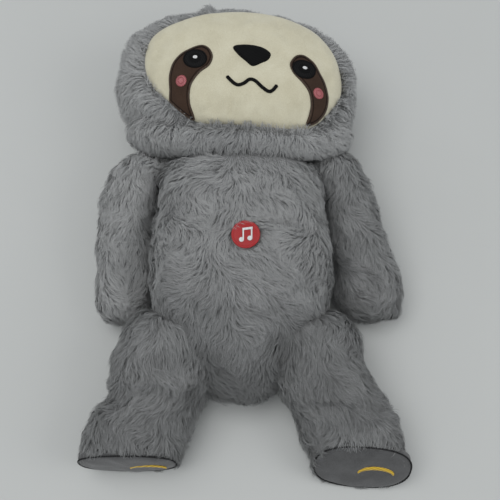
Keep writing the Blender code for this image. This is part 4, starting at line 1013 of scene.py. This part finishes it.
def grow_torso():
    """The torso's pile: combed down from the neck and swirling over the tummy."""
    rng = np.random.default_rng(21)
    place, normal, along, _ = scatter(raw_torso, torso_up, rng)
    angle = swirl(place) * 0.62 + eddy(place) * 0.16
    calm = np.exp(-((place[:, 0] - 0.053) / 0.014) ** 2 - ((place[:, 1] + 0.019) / 0.022) ** 2)
    flow = turned_about(unit(along), normal, angle * (1 - 0.8 * calm))
    # Painted shade and light in the tone: darker towards the lower body and legs, a little lighter
    # on the right side; the shade waves add only random tone
    tone = (0.72 + 0.05 * shade(place) - 0.22 * share_of(0.010 - place[:, 1], 0.05)
            + 0.02 * share_of(place[:, 0] - 0.01, 0.03))
    length = np.full(len(place), PILE_LENGTH)
    height = PILE_HEIGHT + 0.0007 * puff(place)
    from_button = off_button(place)
    front = place[:, 2] > TUMMY_HEIGHT
    near = share_of(0.022 - from_button, 0.010) * front
    away = place - np.array([BUTTON[0], BUTTON[1], 0])
    away[:, 2] = 0
    flow = unit(flow) + unit(away) * (near * 0.55)[:, None]
    length = length * (1 - 0.40 * near)
    height = height + 0.0006 * near
    root = root_set(place, normal, flow, tone, length, height, torso_depth(place),
                    0.10 * eddy(place))
    keep = ~(front & (from_button < 0.0103))
    keep &= ~((np.abs(place[:, 0]) < CLOSURE_HALF[0])
              & (np.abs(place[:, 1] - CLOSURE_Y) < CLOSURE_HALF[1]) & (place[:, 2] < 0.01))
    for _, spot, radius in JOINTS:
        keep &= np.linalg.norm(place - spot, axis=1) > radius - 0.003
    below = -depth_in(head_tree, place)
    near_head = np.clip(1 - (below - 0.002) / 0.010, 0, 1) * (place[:, 1] > 0.02)
    root["height"] = root["height"] - 0.0016 * near_head
    root["length"] = root["length"] * (1 - 0.35 * near_head)
    # Painted shade under the chin: the pile's tone is darkened where the head overhangs it
    root["tone"] = root["tone"] - 0.10 * near_head
    keep &= below > 0.0006
    # Painted shade: the pile is darkened at the seat and between the legs, where the legs shade it
    seat = (share_of(-0.070 - place[:, 1], 0.03)
            + share_of(-0.045 - place[:, 1], 0.03)
            * share_of(np.abs(place[:, 0]) - 0.012, 0.02))
    root["tone"] = root["tone"] - 0.46 * np.minimum(seat, 1)
    corner = (share_of(place[:, 1] - 0.056, 0.008)
              * share_of(np.abs(place[:, 0]) - 0.036, 0.006))
    root["height"] = root["height"] + 0.0032 * corner
    for side in (-1, 1):
        off = np.linalg.norm(place - mirrored(HIP, side), axis=1)
        groin = share_of(HIP_RADIUS + 0.006 - off, 0.006) * in_groin(place)
        groin = groin * (place[:, 0] * side > 0)
        root["height"] = root["height"] + 0.0024 * groin
        root["flow"] = unit(root["flow"] + np.array([0.7 * side, 0, 0]) * groin[:, None])
    return pick(root, keep), place[keep]


def grow_parts(name, root, parts, body, skin_piece, seed):
    """Grow a pile in several pieces, split by a label for each root."""
    for index, (word, chosen) in enumerate(parts):
        which = np.flatnonzero(chosen)
        for share, some in enumerate(np.array_split(which, math.ceil(len(which) / MOST_STRANDS))):
            mask = np.zeros(len(chosen), dtype=bool)
            mask[some] = True
            made = grow("%s_%s_%d" % (name, word, share + 1), trees[body], pick(root, mask),
                        seed + index + 7 * share)
            made.parent = skin_piece


trees = {"torso": torso_tree, "head": head_tree}
torso_root, torso_place = grow_torso()
upper = torso_place[:, 1] > -0.010
front = torso_place[:, 2] > 0.048
grow_parts("torso_pile", torso_root,
           (("front_upper", upper & front), ("front_lower", ~upper & front),
            ("back_upper", upper & ~front), ("back_lower", ~upper & ~front)),
           "torso", torso_skin, 31)


def grow_head():
    """The head's pile: combed away from the face and down over the chin."""
    rng = np.random.default_rng(22)
    world, up = scatter_form(head_form, rng)
    place = moved(world, to_toy.inverted())
    normal = up @ turn3
    out = place - np.array([*FACE_MIDDLE, 0])
    out[:, 2] = 0
    out = unit(out * np.array([*1 / FACE_HALF, 1]))
    back = np.clip(-place[:, 2:] / HEAD_HALF[2] * 2.0, 0, 1)
    flow = out * (1 - back) + np.array([0, -1.0, 0]) * back + np.array([0, 0, -0.35]) * (1 - back)
    flow = laid_flat(flow, normal)
    flow = turned_about(flow, normal, swirl(place + 0.3) * 0.40 + eddy(place + 0.3) * 0.18)
    # Painted light and shade in the tone: lighter towards the sides, most of all low down, and
    # darker low in the middle; the shade waves add only random tone
    low = share_of(0.030 - place[:, 1], 0.06)
    tone = (0.73 + 0.04 * shade(place + 0.3)
            + 0.30 * (0.3 + 0.7 * low) * share_of(np.abs(place[:, 0]), 0.07) ** 1.5
            - 0.14 * low * np.clip(1 - np.abs(place[:, 0]) / 0.07, 0, 1))
    top = share_of(place[:, 1] / HEAD_HALF[1] - 0.45, 0.35)
    rim = share_of(np.abs(place[:, 0]) / HEAD_HALF[0] - 0.60, 0.30) * (1 - top)
    height = PILE_HEIGHT + 0.0006 * puff(place) - 0.0022 * top + 0.0016 * rim
    tuft = place[:, 0] + 0.0268
    tuft = bell(tuft, np.where(tuft < 0, 0.0062, 0.0026))
    hump = bell(place[:, 0] + 0.067, 0.010)
    fringe = share_of(place[:, 0] + 0.020, 0.010)
    height += top * (0.0020 * hump + 0.0044 * tuft + 0.0014 * fringe)
    length = PILE_LENGTH * (0.92 - 0.34 * top)
    shares = (place[:, :2] - FACE_MIDDLE) / 1.05 + FACE_MIDDLE
    border = inside_outline(shares, face_outline) & (place[:, 2] > 0) & (place[:, 1] < 0.012)
    length = np.where(border, length * rng.uniform(0.35, 0.7, len(length)), length)
    height = np.where(border, height + 0.0014, height)
    across = border & (eddy(place * 1.7 + 0.6) > -0.1)
    flow = np.where(border[:, None], flow * 0.5 + unit(rng.normal(0, 1, flow.shape)) * 0.35, flow)
    flow = np.where(across[:, None], unit(rng.normal(0, 1, flow.shape)) * 0.5 - out * 0.6, flow)
    root = root_set(place, normal, flow, tone, length, height,
                    np.full(len(place), SKIN_DEPTH), 0.08 * eddy(place + 0.3))
    inner = (face_outline - FACE_MIDDLE) * 0.985 + FACE_MIDDLE
    keep = ~(inside_outline(place[:, :2], inner) & (place[:, 2] > 0))
    for key in ("normal", "flow"):
        root[key] = root[key] @ turn3.T
    root["place"] = world
    barrel = (world - NECK_MIDDLE) / (NECK_HALF + 0.0030)
    keep &= (barrel ** 2).sum(axis=1) > 1.0
    return pick(root, keep), place[keep]


head_root, head_place = grow_head()
facing = head_place[:, 2] > -0.008
left = head_place[:, 0] < 0
grow_parts("head_pile", head_root,
           (("front_left", facing & left), ("front_right", facing & ~left),
            ("back_left", ~facing & left), ("back_right", ~facing & ~left)),
           "head", head_skin, 41)


def grow_limb(body, grid, seed, end_row, soft_end, lift):
    """A limb's skin and pile, made a little lighter or darker by a lift at each end: painted light
    and shade.
    """
    up = grid_normals(grid)
    skin_grid = grid - up * SKIN_DEPTH
    skin_grid[..., 2] = np.maximum(skin_grid[..., 2], SKIN_FLOOR)
    trees[body] = tree_of(grid)
    made = skin(body + "_skin", skin_grid, body)
    rng = np.random.default_rng(seed)
    place, normal, along, row = scatter(grid, up, rng)
    flow = turned_about(along, normal, swirl(place + 0.6 * seed) * 0.48 + eddy(place) * 0.18)
    # Painted light and shade: the lift brightens or darkens the limb's pile; the shade waves add
    # only random tone
    tone = 0.72 + 0.05 * shade(place + 0.1 * seed) + lift[0] + (lift[1] - lift[0]) * row / end_row
    length = np.full(len(place), PILE_LENGTH)
    corner = (share_of(place[:, 1] - 0.056, 0.008)
              * share_of(0.078 - np.abs(place[:, 0]), 0.006))
    height = PILE_HEIGHT + 0.0007 * puff(place) + 0.0030 * corner
    keep = row < end_row
    if not soft_end:
        close = share_of(end_row - row, end_row * 0.10)
        length = length * (0.30 + 0.70 * close)
    root = root_set(place, normal, flow, tone, length, height,
                    np.full(len(place), SKIN_DEPTH), 0.12 * eddy(place))
    near = np.abs(place[:, 0]) < TORSO_HALF_WIDTH + 0.004
    deep = np.full(len(place), -1.0)
    deep[near] = depth_in(torso_tree, place[near])
    groin = in_groin(place)
    keep &= deep < np.where(groin, 0.0050, 0.0)
    root["height"] = root["height"] + 0.0012 * (groin & (deep > -0.006))
    coat = (("coat", np.ones(keep.sum(), dtype=bool)),)
    grow_parts(body + "_pile", pick(root, keep), coat, body, made, seed + 5)
    return made


ARM_SIDES = {
    "left": (((0.0638, -0.1020), (0.0415, -0.1090), (0.0209, -0.1092), (0.0002, -0.1108),
              (-0.0197, -0.1108), (-0.0397, -0.1088), (-0.0512, -0.1030)),
             ((0.0577, -0.0610), (0.0339, -0.0655), (0.0130, -0.0680), (-0.0200, -0.0700),
              (-0.0461, -0.0733))),
    "right": (((0.0574, 0.0945), (0.0414, 0.1040), (0.0056, 0.1128), (-0.0139, 0.1232),
               (-0.0298, 0.1250), (-0.0386, 0.1222)),
              ((0.0577, 0.0620), (0.0242, 0.0672), (-0.0059, 0.0705), (-0.0308, 0.0730),
               (-0.0483, 0.0830))),
}
LEG_SIDES = {
    "left": (((-0.0874, -0.0950), (-0.1061, -0.0950), (-0.1110, -0.0980), (-0.1200, -0.1070),
              (-0.1327, -0.1135), (-0.1519, -0.1155)),
             ((-0.0850, -0.0240), (-0.0990, -0.0215), (-0.1150, -0.0290), (-0.1293, -0.0345),
              (-0.1519, -0.0440))),
    "right": (((-0.0773, 0.0897), (-0.0975, 0.0962), (-0.1061, 0.1055), (-0.1209, 0.1145),
               (-0.1355, 0.1190), (-0.1553, 0.1205)),
              ((-0.0900, 0.0240), (-0.1061, 0.0280), (-0.1258, 0.0395), (-0.1389, 0.0435),
               (-0.1533, 0.0520))),
}
LEG_FOLDS = {
    "left": ((((-0.099, -0.108, 0.040), (-0.086, -0.1095, 0.060), (-0.070, -0.111, 0.066),
               (-0.052, -0.109, 0.062)), 0.0050, 0.0030),),
    "right": ((((0.030, -0.118, 0.050), (0.040, -0.121, 0.066), (0.055, -0.120, 0.072)),
               0.0050, 0.0024),
              (((0.108, -0.104, 0.045), (0.096, -0.100, 0.066), (0.082, -0.099, 0.074)),
               0.0060, 0.0024)),
}


def limb_held(grid, stiff):
    """Where a limb's form stays as it swells: its joint end, its sole's edge and on the table."""
    row = np.arange(len(grid))[:, None]
    held = np.clip(1 - (row - 3 * FINE) / FINE, 0, 1)
    if stiff:
        held = np.maximum(held, share_of(row - (len(grid) - 1 - stiff), stiff / 2))
    return np.maximum(held, on_table(grid))


# For each side: its sign, the arm's splay, and the leg's spread, turn and tilt
SIDES = {
    "left": (-1, math.radians(3.0), 0.032, 0.0, math.radians(12.0)),
    "right": (1, math.radians(7.0), 0.045, math.radians(-4.0), math.radians(34.0)),
}
# Painted light and shade on each limb's pile, at its joint and at its far end: lighter on the left
# arm, darker on the right arm and on the legs
ARM_PAINTED_LIGHT_AND_SHADE = {"left": (0.20, 0.20), "right": (-0.26, -0.34)}
LEG_PAINTED_SHADE = {"left": (-0.26, -0.50), "right": (-0.48, -0.40)}
skins = {"torso": torso_skin, "head": head_skin}
for word, (side, splay, spread, turn, tilt) in SIDES.items():
    grid = fit_sides(eased(arm_grid(side, splay, 56, FINE)), side, *ARM_SIDES[word])
    grid = swollen_grid(grid, limb_held(grid, 0))
    skins["arm_" + word] = grow_limb("arm_" + word, grid, 50 + side, 1.0, True, ARM_PAINTED_LIGHT_AND_SHADE[word])
    grid = fit_sides(eased(leg_grid(side, spread, turn, tilt, 72, FINE)), side, *LEG_SIDES[word])
    grid = creased(grid, LEG_FOLDS[word])
    grid = swollen_grid(grid, limb_held(grid, 2 * FINE))
    last = (len(grid) - 2) / (len(grid) - 1)
    skins["leg_" + word] = grow_limb("leg_" + word, grid, 60 + side, last, False, LEG_PAINTED_SHADE[word])

for body, piece in skins.items():
    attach(piece, body)


# Filling: loose fibre inside the torso skin, clear of the module
def settle(source, name, voxel, shrink, finish):
    """A remeshed copy of a node, drawn in along its normals."""
    made = in_scene(name, source.data.copy())
    remeshed(made, voxel)
    place, _, normal = form_of(applied(made))
    lump = Waves(15, 0.014)(place)[:, None] * 0.0004
    place = place - normal * (shrink + lump)
    for index, point in enumerate(place):
        hit, up = torso_tree.find_nearest(point)[:2]
        want = torso_depth(np.array(hit)) + CLOTH_GAP
        if (hit - Vector(point)).dot(up) < want:
            place[index] = hit - up * want
    made.data.vertices.foreach_set("co", place.ravel())
    made.data.shade_smooth()
    made.data.materials.clear()
    made.data.materials.append(finish)
    return made


filling = settle(nodes["torso_filling"], "torso_wadding", 0.003, 0.0015, FIBRE)
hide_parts("torso_filling")
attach(filling, "torso")


# Face: pieces laid over the front of the head
def face_point(u, v, lift):
    """Points over the front of the head, lifted along its normal, in the toy's frame."""
    u, v = np.broadcast_arrays(np.asarray(u, float), np.asarray(v, float))
    across = np.abs(u / HEAD_HALF[0])
    upward = np.abs(v / HEAD_HALF[1])
    power = np.where(v < 0, JOWL_POWER, PLAN_POWER)
    q = (1 - upward ** power) ** (SIDE_POWER / power)
    deep = np.maximum(q - across ** SIDE_POWER, 1e-9) ** (1 / SIDE_POWER)
    slope = q ** (power / SIDE_POWER - 1)
    normal = unit(np.stack([np.sign(u) * slope * across ** (SIDE_POWER - 1) / HEAD_HALF[0],
                            np.sign(v) * upward ** (power - 1) / HEAD_HALF[1],
                            slope * deep ** (SIDE_POWER - 1) / HEAD_HALF[2]], axis=-1))
    place = np.stack([u, v, deep * HEAD_HALF[2]], axis=-1)
    return moved(place + normal * np.asarray(lift)[..., None], to_toy)


crumple = Waves(16, 0.022)
ripple = Waves(17, 0.009)
SHEET_LOW, SHEET_HIGH, SHEET_STEP = (-0.078, -0.054), (0.0885, 0.052), 0.0016
PANEL_SWELL = 0.0030


def swollen_panel():
    """How high the face panel's cloth stands when it is stuffed, over a grid of (v, u)."""
    v, u = np.meshgrid(np.arange(SHEET_LOW[1], SHEET_HIGH[1], SHEET_STEP),
                       np.arange(SHEET_LOW[0], SHEET_HIGH[0], SHEET_STEP), indexing="ij")
    share = panel_share(u, v)
    used = share < 1.0
    number = np.full(u.shape, -1)
    number[used] = np.arange(used.sum())
    low = face_point(u[used], v[used], np.full(used.sum(), 0.001))
    up = unit(face_point(u[used], v[used], np.full(used.sum(), 0.002)) - low)
    faces = np.stack([number[:-1, :-1], number[:-1, 1:], number[1:, 1:], number[1:, :-1]],
                     axis=-1).reshape(-1, 4)
    made = add_mesh("swelling", low, faces[(faces >= 0).all(axis=1)].tolist(), CREAM)
    if np.mean([face.normal.z for face in made.data.polygons]) < 0:
        made.data.flip_normals()
    held = share_of(share[used] - 0.90, 0.05)
    place = swollen(made, held, PANEL_SWELL, 0.007, 0.3)
    bpy.data.objects.remove(made)
    height = np.zeros(u.shape)
    height[used] = np.clip(((place - low) * up).sum(axis=1), -0.0006, PANEL_SWELL)
    return height


panel_puff = swollen_panel()
PANEL_FOLDS = (
    ((0.0012, -0.0290), (0.0000, -0.0460), 0.0013, 0.0013),
    ((0.0040, -0.0370), (0.0062, -0.0470), 0.0010, 0.0005),
    ((0.0080, 0.0190), (0.0263, 0.0140), 0.0018, 0.0005),
    ((0.0325, 0.0245), (0.0380, 0.0130), 0.0016, 0.0005),
    ((0.0160, 0.0250), (0.0300, 0.0215), 0.0016, 0.0004),
    ((-0.0120, -0.0390), (-0.0220, -0.0440), 0.0016, 0.0004),
)


def panel_lift(u, v):
    """Height of the face panel over the head: full in the middle, tucked under at its edge."""
    share = panel_share(u, v)
    tuck = share_of(share - 0.86, 0.14)
    flat = np.stack([u, v, np.zeros_like(u)], axis=-1)
    wave = crumple(flat) * 0.00026 + ripple(flat * np.array([1, 0.5, 1])) * 0.00012
    for start, end, width, deep in PANEL_FOLDS:
        way = np.array(end) - np.array(start)
        t = share_of((u - start[0]) * way[0] + (v - start[1]) * way[1], way.dot(way))
        gap = np.hypot(u - start[0] - t * way[0], v - start[1] - t * way[1])
        wave = wave - deep * bell(gap, width) * (1 - 0.5 * np.abs(2 * t - 1))
    row = np.clip((v - SHEET_LOW[1]) / SHEET_STEP, 0, panel_puff.shape[0] - 1.001)
    column = np.clip((u - SHEET_LOW[0]) / SHEET_STEP, 0, panel_puff.shape[1] - 1.001)
    i, j = row.astype(int), column.astype(int)
    y, x = row - i, column - j
    puffed = ((panel_puff[i, j] * (1 - x) + panel_puff[i, j + 1] * x) * (1 - y)
              + (panel_puff[i + 1, j] * (1 - x) + panel_puff[i + 1, j + 1] * x) * y)
    return 0.0013 + (wave + puffed) * (1 - tuck) - 0.0012 * tuck ** 2


def on_panel(outline, most):
    """Keep an outline on the face panel."""
    share = panel_share(outline[:, 0], outline[:, 1])[:, None]
    return FACE_MIDDLE + (outline - FACE_MIDDLE) * np.minimum(most / share, 1)


def cloth(name, outline, hub, low, high, finish, rings, node, round_off):
    """A closed piece of cloth over the face: an outline, its thickness and rounded edge."""
    hub = np.array(hub)
    shares = np.append(1 - np.linspace(0, 1, rings + 1)[:-1] ** 1.6, 0.0)
    rows = []
    for over in (True, False):
        for share in (shares if over else shares[1:]):
            flat = hub + (outline - hub) * share
            base = panel_lift(flat[:, 0], flat[:, 1])
            lift = base + (low + (high - low) * (1 - share ** round_off) ** 0.5 if over else low)
            rows.append(face_point(flat[:, 0], flat[:, 1], lift))
    top, under = rows[:len(shares)], rows[len(shares):]
    verts, faces = grid_mesh(np.array(under[::-1] + top))
    made = add_mesh(name, verts, faces, finish)
    if node:
        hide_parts(node)
    made.parent = head_skin
    return made


def rope(name, path, lift, width, height, finish, closed=True):
    """A raised line of satin stitches along a path over the face panel."""
    u, v = path[:, 0], path[:, 1]
    place = face_point(u, v, panel_lift(u, v) + lift)
    above = face_point(u, v, panel_lift(u, v) + lift + 0.001)
    up = unit(above - place)
    if closed:
        along = unit(np.roll(place, -1, axis=0) - np.roll(place, 1, axis=0))
    else:
        along = unit(np.gradient(place, axis=0))
    grid = tube(place, unit(np.cross(along, up)), up, width, height, 10)
    if closed:
        verts, faces = grid.reshape(-1, 3), tube_faces(*grid.shape[:2])
    else:
        verts, faces = grid_mesh(capped(grid, place[0] - along[0] * width * 0.6,
                                        place[-1] + along[-1] * width * 0.6))
    made = add_mesh(name, verts, faces, finish)
    made.parent = head_skin
    return made


def oval(middle, half, count):
    """An oval outline, seen from the front."""
    a = np.linspace(0, 2 * np.pi, count, endpoint=False)
    return np.stack([middle[0] + half[0] * np.cos(a), middle[1] + half[1] * np.sin(a)], axis=1)


def inset(outline, amount):
    """An outline drawn in by an amount."""
    along = unit(np.roll(outline, -1, axis=0) - np.roll(outline, 1, axis=0))
    area = np.sum(outline[:, 0] * np.roll(outline[:, 1], -1)
                  - outline[:, 1] * np.roll(outline[:, 0], -1))
    inward = np.stack([-along[:, 1], along[:, 0]], axis=1) * np.sign(area)
    return outline + inward * amount


fine_outline = closed_curve(FACE_ROWS, 26) * FACE_HALF + FACE_MIDDLE
face = cloth("face_plush", fine_outline, FACE_MIDDLE, -0.0040, 0.0, CREAM, 34, "face_panel",
             40.0)

PATCHES = (
    ("left", (-0.0328, -0.0203), (-0.35, -0.20), (
        (-0.04, 0.86), (0.33, 0.95), (0.64, 0.94), (0.90, 0.83), (1.05, 0.62), (0.93, 0.36),
        (0.51, 0.11), (0.19, -0.26), (0.23, -0.65), (0.50, -1.05), (-0.15, -0.96), (-0.72, -0.78),
        (-0.82, -0.35), (-0.89, 0.04), (-0.80, 0.40), (-0.42, 0.70)),
     (-0.0290, -0.0066), (-0.0370, -0.0234)),
    ("right", (0.0553, -0.0142), (0.30, -0.20), (
        (-0.47, 0.87), (-0.84, 0.78), (-1.05, 0.51), (-0.87, 0.26), (-0.44, 0.06), (-0.06, -0.16),
        (0.15, -0.47), (0.16, -0.72), (0.07, -1.02), (0.58, -0.87), (0.92, -0.56), (0.96, -0.20),
        (0.79, 0.14), (0.39, 0.48), (-0.02, 0.76)), (0.0494, -0.0030), (0.0620, -0.0176)),
)
PATCH_HALF = np.array([0.0155, 0.026])
for word, middle, hub, rows, eye_spot, cheek_spot in PATCHES:
    middle = np.array(middle)
    outline = on_panel(closed_curve(rows, 8) * PATCH_HALF + middle, 0.985)
    cloth("eye_patch_velour_" + word, outline, middle + np.array(hub) * PATCH_HALF, -0.0004,
          0.0009, BROWN, 12, "eye_patch_" + word, 12.0)
    rope("eye_patch_border_" + word, inset(outline, 0.0006), 0.0005, 0.0006, 0.0005, BROWN_EDGE)
    rope("eye_patch_line_" + word, inset(outline, 0.0019), 0.0009, 0.00022, 0.0002, BLACK)
    cloth("eye_stitched_" + word, oval(eye_spot, (0.0083, 0.0070), 48), eye_spot, 0.0006, 0.0021,
          EYE, 12, "eye_" + word, 3.0)
    cloth("eye_pupil_" + word, oval(eye_spot, (0.0052, 0.0046), 40), eye_spot, 0.0012, 0.0024,
          BLACK, 8, None, 3.0)
    rope("eye_rim_" + word, oval(eye_spot, (0.0080, 0.0067), 60), 0.0010, 0.0007, 0.0006, BLACK)
    spot = (eye_spot[0] + 0.0002, eye_spot[1] + 0.0006)
    cloth("eye_glint_stitched_" + word, oval(spot, (0.0022, 0.0017), 24), spot, 0.0016, 0.0026,
          WHITE, 6, "eye_glint_" + word, 3.0)
    cloth("cheek_stitched_" + word, oval(cheek_spot, (0.0037, 0.0037), 30), cheek_spot, 0.0005,
          0.0016, PINK, 8, "cheek_" + word, 3.0)
    rope("cheek_swirl_" + word, oval(cheek_spot, (0.0021, 0.0021), 30), 0.0016, 0.0004, 0.0003,
         PINK_EDGE)
    rope("cheek_edge_" + word, oval(cheek_spot, (0.0036, 0.0036), 40), 0.0008, 0.0004, 0.0004,
         PINK_EDGE)

NOSE_ROWS = (
    (-0.99, 0.42), (-0.90, 0.72), (-0.60, 0.86), (-0.15, 0.93), (0.48, 0.84), (0.93, 0.40),
    (0.86, -0.22), (0.52, -0.68), (0.12, -1.03), (-0.24, -0.66), (-0.70, -0.10),
)
nose_middle, nose_half = np.array([0.0112, 0.0009]), np.array([0.0143, 0.0086])
nose_outline = closed_curve(NOSE_ROWS, 8) * nose_half + nose_middle
nose = cloth("nose_stitched", nose_outline, nose_middle, -0.0003, 0.0030, BLACK, 14, "nose",
             2.6)
MOUTH_ROWS = (
    (-1.00, 1.00), (-0.73, -0.19), (-0.52, -0.53), (-0.29, 0.00), (-0.10, 0.94), (0.14, 0.78),
    (0.45, -0.45), (0.70, -1.05), (0.86, -0.65), (1.00, 0.55),
)
mouth_middle, mouth_half = np.array([0.0137, -0.0213]), np.array([0.0180, 0.0032])
mouth_path = rows_between(MOUTH_ROWS, 8) * mouth_half + mouth_middle
mouth = rope("mouth_stitched", mouth_path, 0.0004, 0.0013, 0.0008, BLACK, False)
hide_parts("mouth_stitching")


# Soles and their emblems: how far a sole reaches into the foot and bulges out, and its stitches
SOLE_BACK, SOLE_CROWN, SOLE_SIDES = 0.0045, 0.0030, 96
SEAM_RADIUS, SEAM_SIDES, SEAM_STEPS = 0.0006, 8, 120
CRESCENT_HALF, CRESCENT_SIDES, CRESCENT_STEPS = (0.0130, 0.0078), 10, 40


def sole_matrix(side, spread, turn, tilt):
    """The middle and turn of a foot's flat end."""
    spot = Matrix.Translation((spread, -LEG_LENGTH, foot_height(tilt)))
    return limb_matrix(side, HIP, turn) @ spot @ Matrix.Rotation(-tilt, 4, "X")


def on_sole(name, rows, matrix, finish, body_skin):
    """A closed piece on a foot's end from rings of points (across, out, up)."""
    verts, faces = grid_mesh(moved(rows, matrix))
    made = add_mesh(name, verts, faces, finish)
    made.parent = body_skin
    return made


for word, shift in (("left", -0.015), ("right", 0.010)):
    side, _, spread, turn, tilt = SIDES[word]
    matrix = sole_matrix(side, spread, turn, tilt)
    half = (0.92 * FOOT_HALF_WIDTH * 0.955, 0.90 * FOOT_HALF_DEPTH * 0.955)
    rows = []
    for share in np.linspace(0.1, 1, 10):
        rows.append(ring((0, SOLE_BACK, 0), half[0] * share, half[1] * share, FOOT_POWER,
                         SOLE_SIDES))
    for share in 1 - np.linspace(0, 0.98, 22) ** 1.5:
        out = SOLE_CROWN * (1 - share ** 3.5) ** 0.5
        flat = ring((0, 0, 0), half[0] * share, half[1] * share, FOOT_POWER, SOLE_SIDES)
        flat[:, 1] -= out + 0.00018 * ripple(flat * 0.6)
        rows.append(flat)
    sole = on_sole("sole_velour_" + word, capped(rows, (0, SOLE_BACK, 0), (0, -SOLE_CROWN, 0)),
                   matrix, SOLE, skins["leg_" + word])
    place = points_of(sole.data)
    place[:, 2] = np.maximum(place[:, 2], FLOOR_GAP)
    sole.data.vertices.foreach_set("co", place.ravel())
    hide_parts("sole_" + word)
    loop = ring((0, -SEAM_RADIUS, 0), half[0] * 1.004, half[1] * 1.004, FOOT_POWER, SEAM_STEPS)
    seam = tube(loop, unit(loop * np.array([1, 0, 1])), np.array([[0, 1.0, 0]]), SEAM_RADIUS,
                SEAM_RADIUS, SEAM_SIDES)
    seam = moved(seam, matrix).reshape(-1, 3)
    seam[:, 2] = np.maximum(seam[:, 2], 0.0005)
    stitched = add_mesh("sole_seam_" + word, seam, tube_faces(SEAM_STEPS, SEAM_SIDES), SEAM)
    stitched.parent = skins["leg_" + word]
    t = np.arange(CRESCENT_STEPS + 1) / CRESCENT_STEPS
    a = math.pi * (0.04 + 0.92 * t)
    path = np.stack([np.cos(a) * CRESCENT_HALF[0] + shift, np.full(len(t), -0.0031),
                     np.sin(a) * CRESCENT_HALF[1] - 0.0040], axis=1)
    wide = 0.0016 * np.maximum(np.sin(math.pi * t), 0) ** 0.6 + 0.0004
    along = unit(np.gradient(path, axis=0))
    across = np.cross(along, np.array([0, 1.0, 0]))
    rows = tube(path, across, np.array([[0, -1.0, 0]]), wide[:, None, None], 0.0007,
                CRESCENT_SIDES)
    rows = capped(rows, rows[0].mean(axis=0), rows[-1].mean(axis=0))
    emblem = on_sole("sole_crescent_" + word, rows, matrix, YELLOW, skins["leg_" + word])
    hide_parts("sole_emblem_" + word)

# Music button: a stitched red disc with a plain beamed note
DISC_TOP, DISC_SIDES = 0.0966, 72
DISC_ROWS = (
    (0.0060, -0.0018), (0.0095, -0.0018), (0.0100, -0.0013), (0.0101, -0.0008), (0.0099, -0.0003),
    (0.0094, 0.0000), (0.0088, -0.0001), (0.0083, -0.0004), (0.0078, -0.0003), (0.0060, 0.0000),
    (0.0040, 0.0002), (0.0020, 0.0003),
)
rows = []
for radius, height in DISC_ROWS:
    rows.append(np.column_stack([oval(BUTTON, (radius, radius), DISC_SIDES),
                                 np.full(DISC_SIDES, DISC_TOP + height)]))
verts, faces = grid_mesh(capped(rows, (*BUTTON, DISC_TOP + DISC_ROWS[0][1]),
                                (*BUTTON, DISC_TOP + DISC_ROWS[-1][1])))
disc = add_mesh("music_disc", verts, faces, RED)
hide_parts("music_patch")
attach(disc, "music_button")
for name, finish in (("music_note", WHITE), ("button_cap", PLASTIC), ("return_spring", STEEL),
                     ("case_front", PLASTIC), ("case_rear", PLASTIC), ("battery_door", PLASTIC),
                     ("case_screw_lower", STEEL), ("case_screw_upper", STEEL),
                     ("circuit_board", BOARD), ("push_switch", DARK), ("speaker", DARK),
                     ("battery_cell_lower", STEEL), ("battery_cell_middle", STEEL),
                     ("battery_cell_upper", STEEL), ("battery_contact_lower", BRASS),
                     ("battery_contact_upper", BRASS), ("closure_hook_strip", TAPE),
                     ("closure_loop_strip", TAPE)):
    if nodes[name].material_slots:
        for place in nodes[name].material_slots:
            place.material = finish
    else:
        nodes[name].data.materials.append(finish)

# Stage: a plain pale table, soft daylight from above, and the camera
table = add_mesh("table", [(-3, -3, 0), (3, -3, 0), (3, 3, 0), (-3, 3, 0)], [(0, 1, 2, 3)],
                 plain_finish("pale_table", (0.565, 0.575, 0.562), (0.595, 0.605, 0.592), 3.0, 0.7),
                 smooth=False)

world = bpy.data.worlds.new("soft_sky")
bpy.context.scene.world = world
world.use_nodes = True
sky = world.node_tree.nodes["Background"].inputs
sky["Color"].default_value = (0.93, 0.97, 1.0, 1)
sky["Strength"].default_value = 0.44
for name, place, size, power in (("ceiling", (-0.5, 0.1, 1.58), 1.2, 10.9),
                                 ("window", (1.3, -0.2, 1.1), 1.0, 4.6)):
    light = bpy.data.lights.new(name, "AREA")
    light.size = size
    light.energy = power
    lamp = in_scene(name, light)
    lamp.location = place
    lamp.rotation_euler = (-Vector(place)).to_track_quat("-Z", "Y").to_euler()

VIEW_ANGLE, VIEW_SLOPE, VIEW_REACH = math.radians(36.0), math.radians(75.0), 0.577
eye = bpy.data.cameras.new("camera")
eye.angle = VIEW_ANGLE
camera = in_scene("camera", eye)
target = Vector((0.007, 0, 0.05))
camera.location = target + Vector((0, -math.cos(VIEW_SLOPE), math.sin(VIEW_SLOPE))) * VIEW_REACH
camera.rotation_euler = (target - camera.location).to_track_quat("-Z", "Y").to_euler()
bpy.context.scene.camera = camera
bpy.context.scene.view_settings.view_transform = "Standard"

bpy.context.view_layer.update()
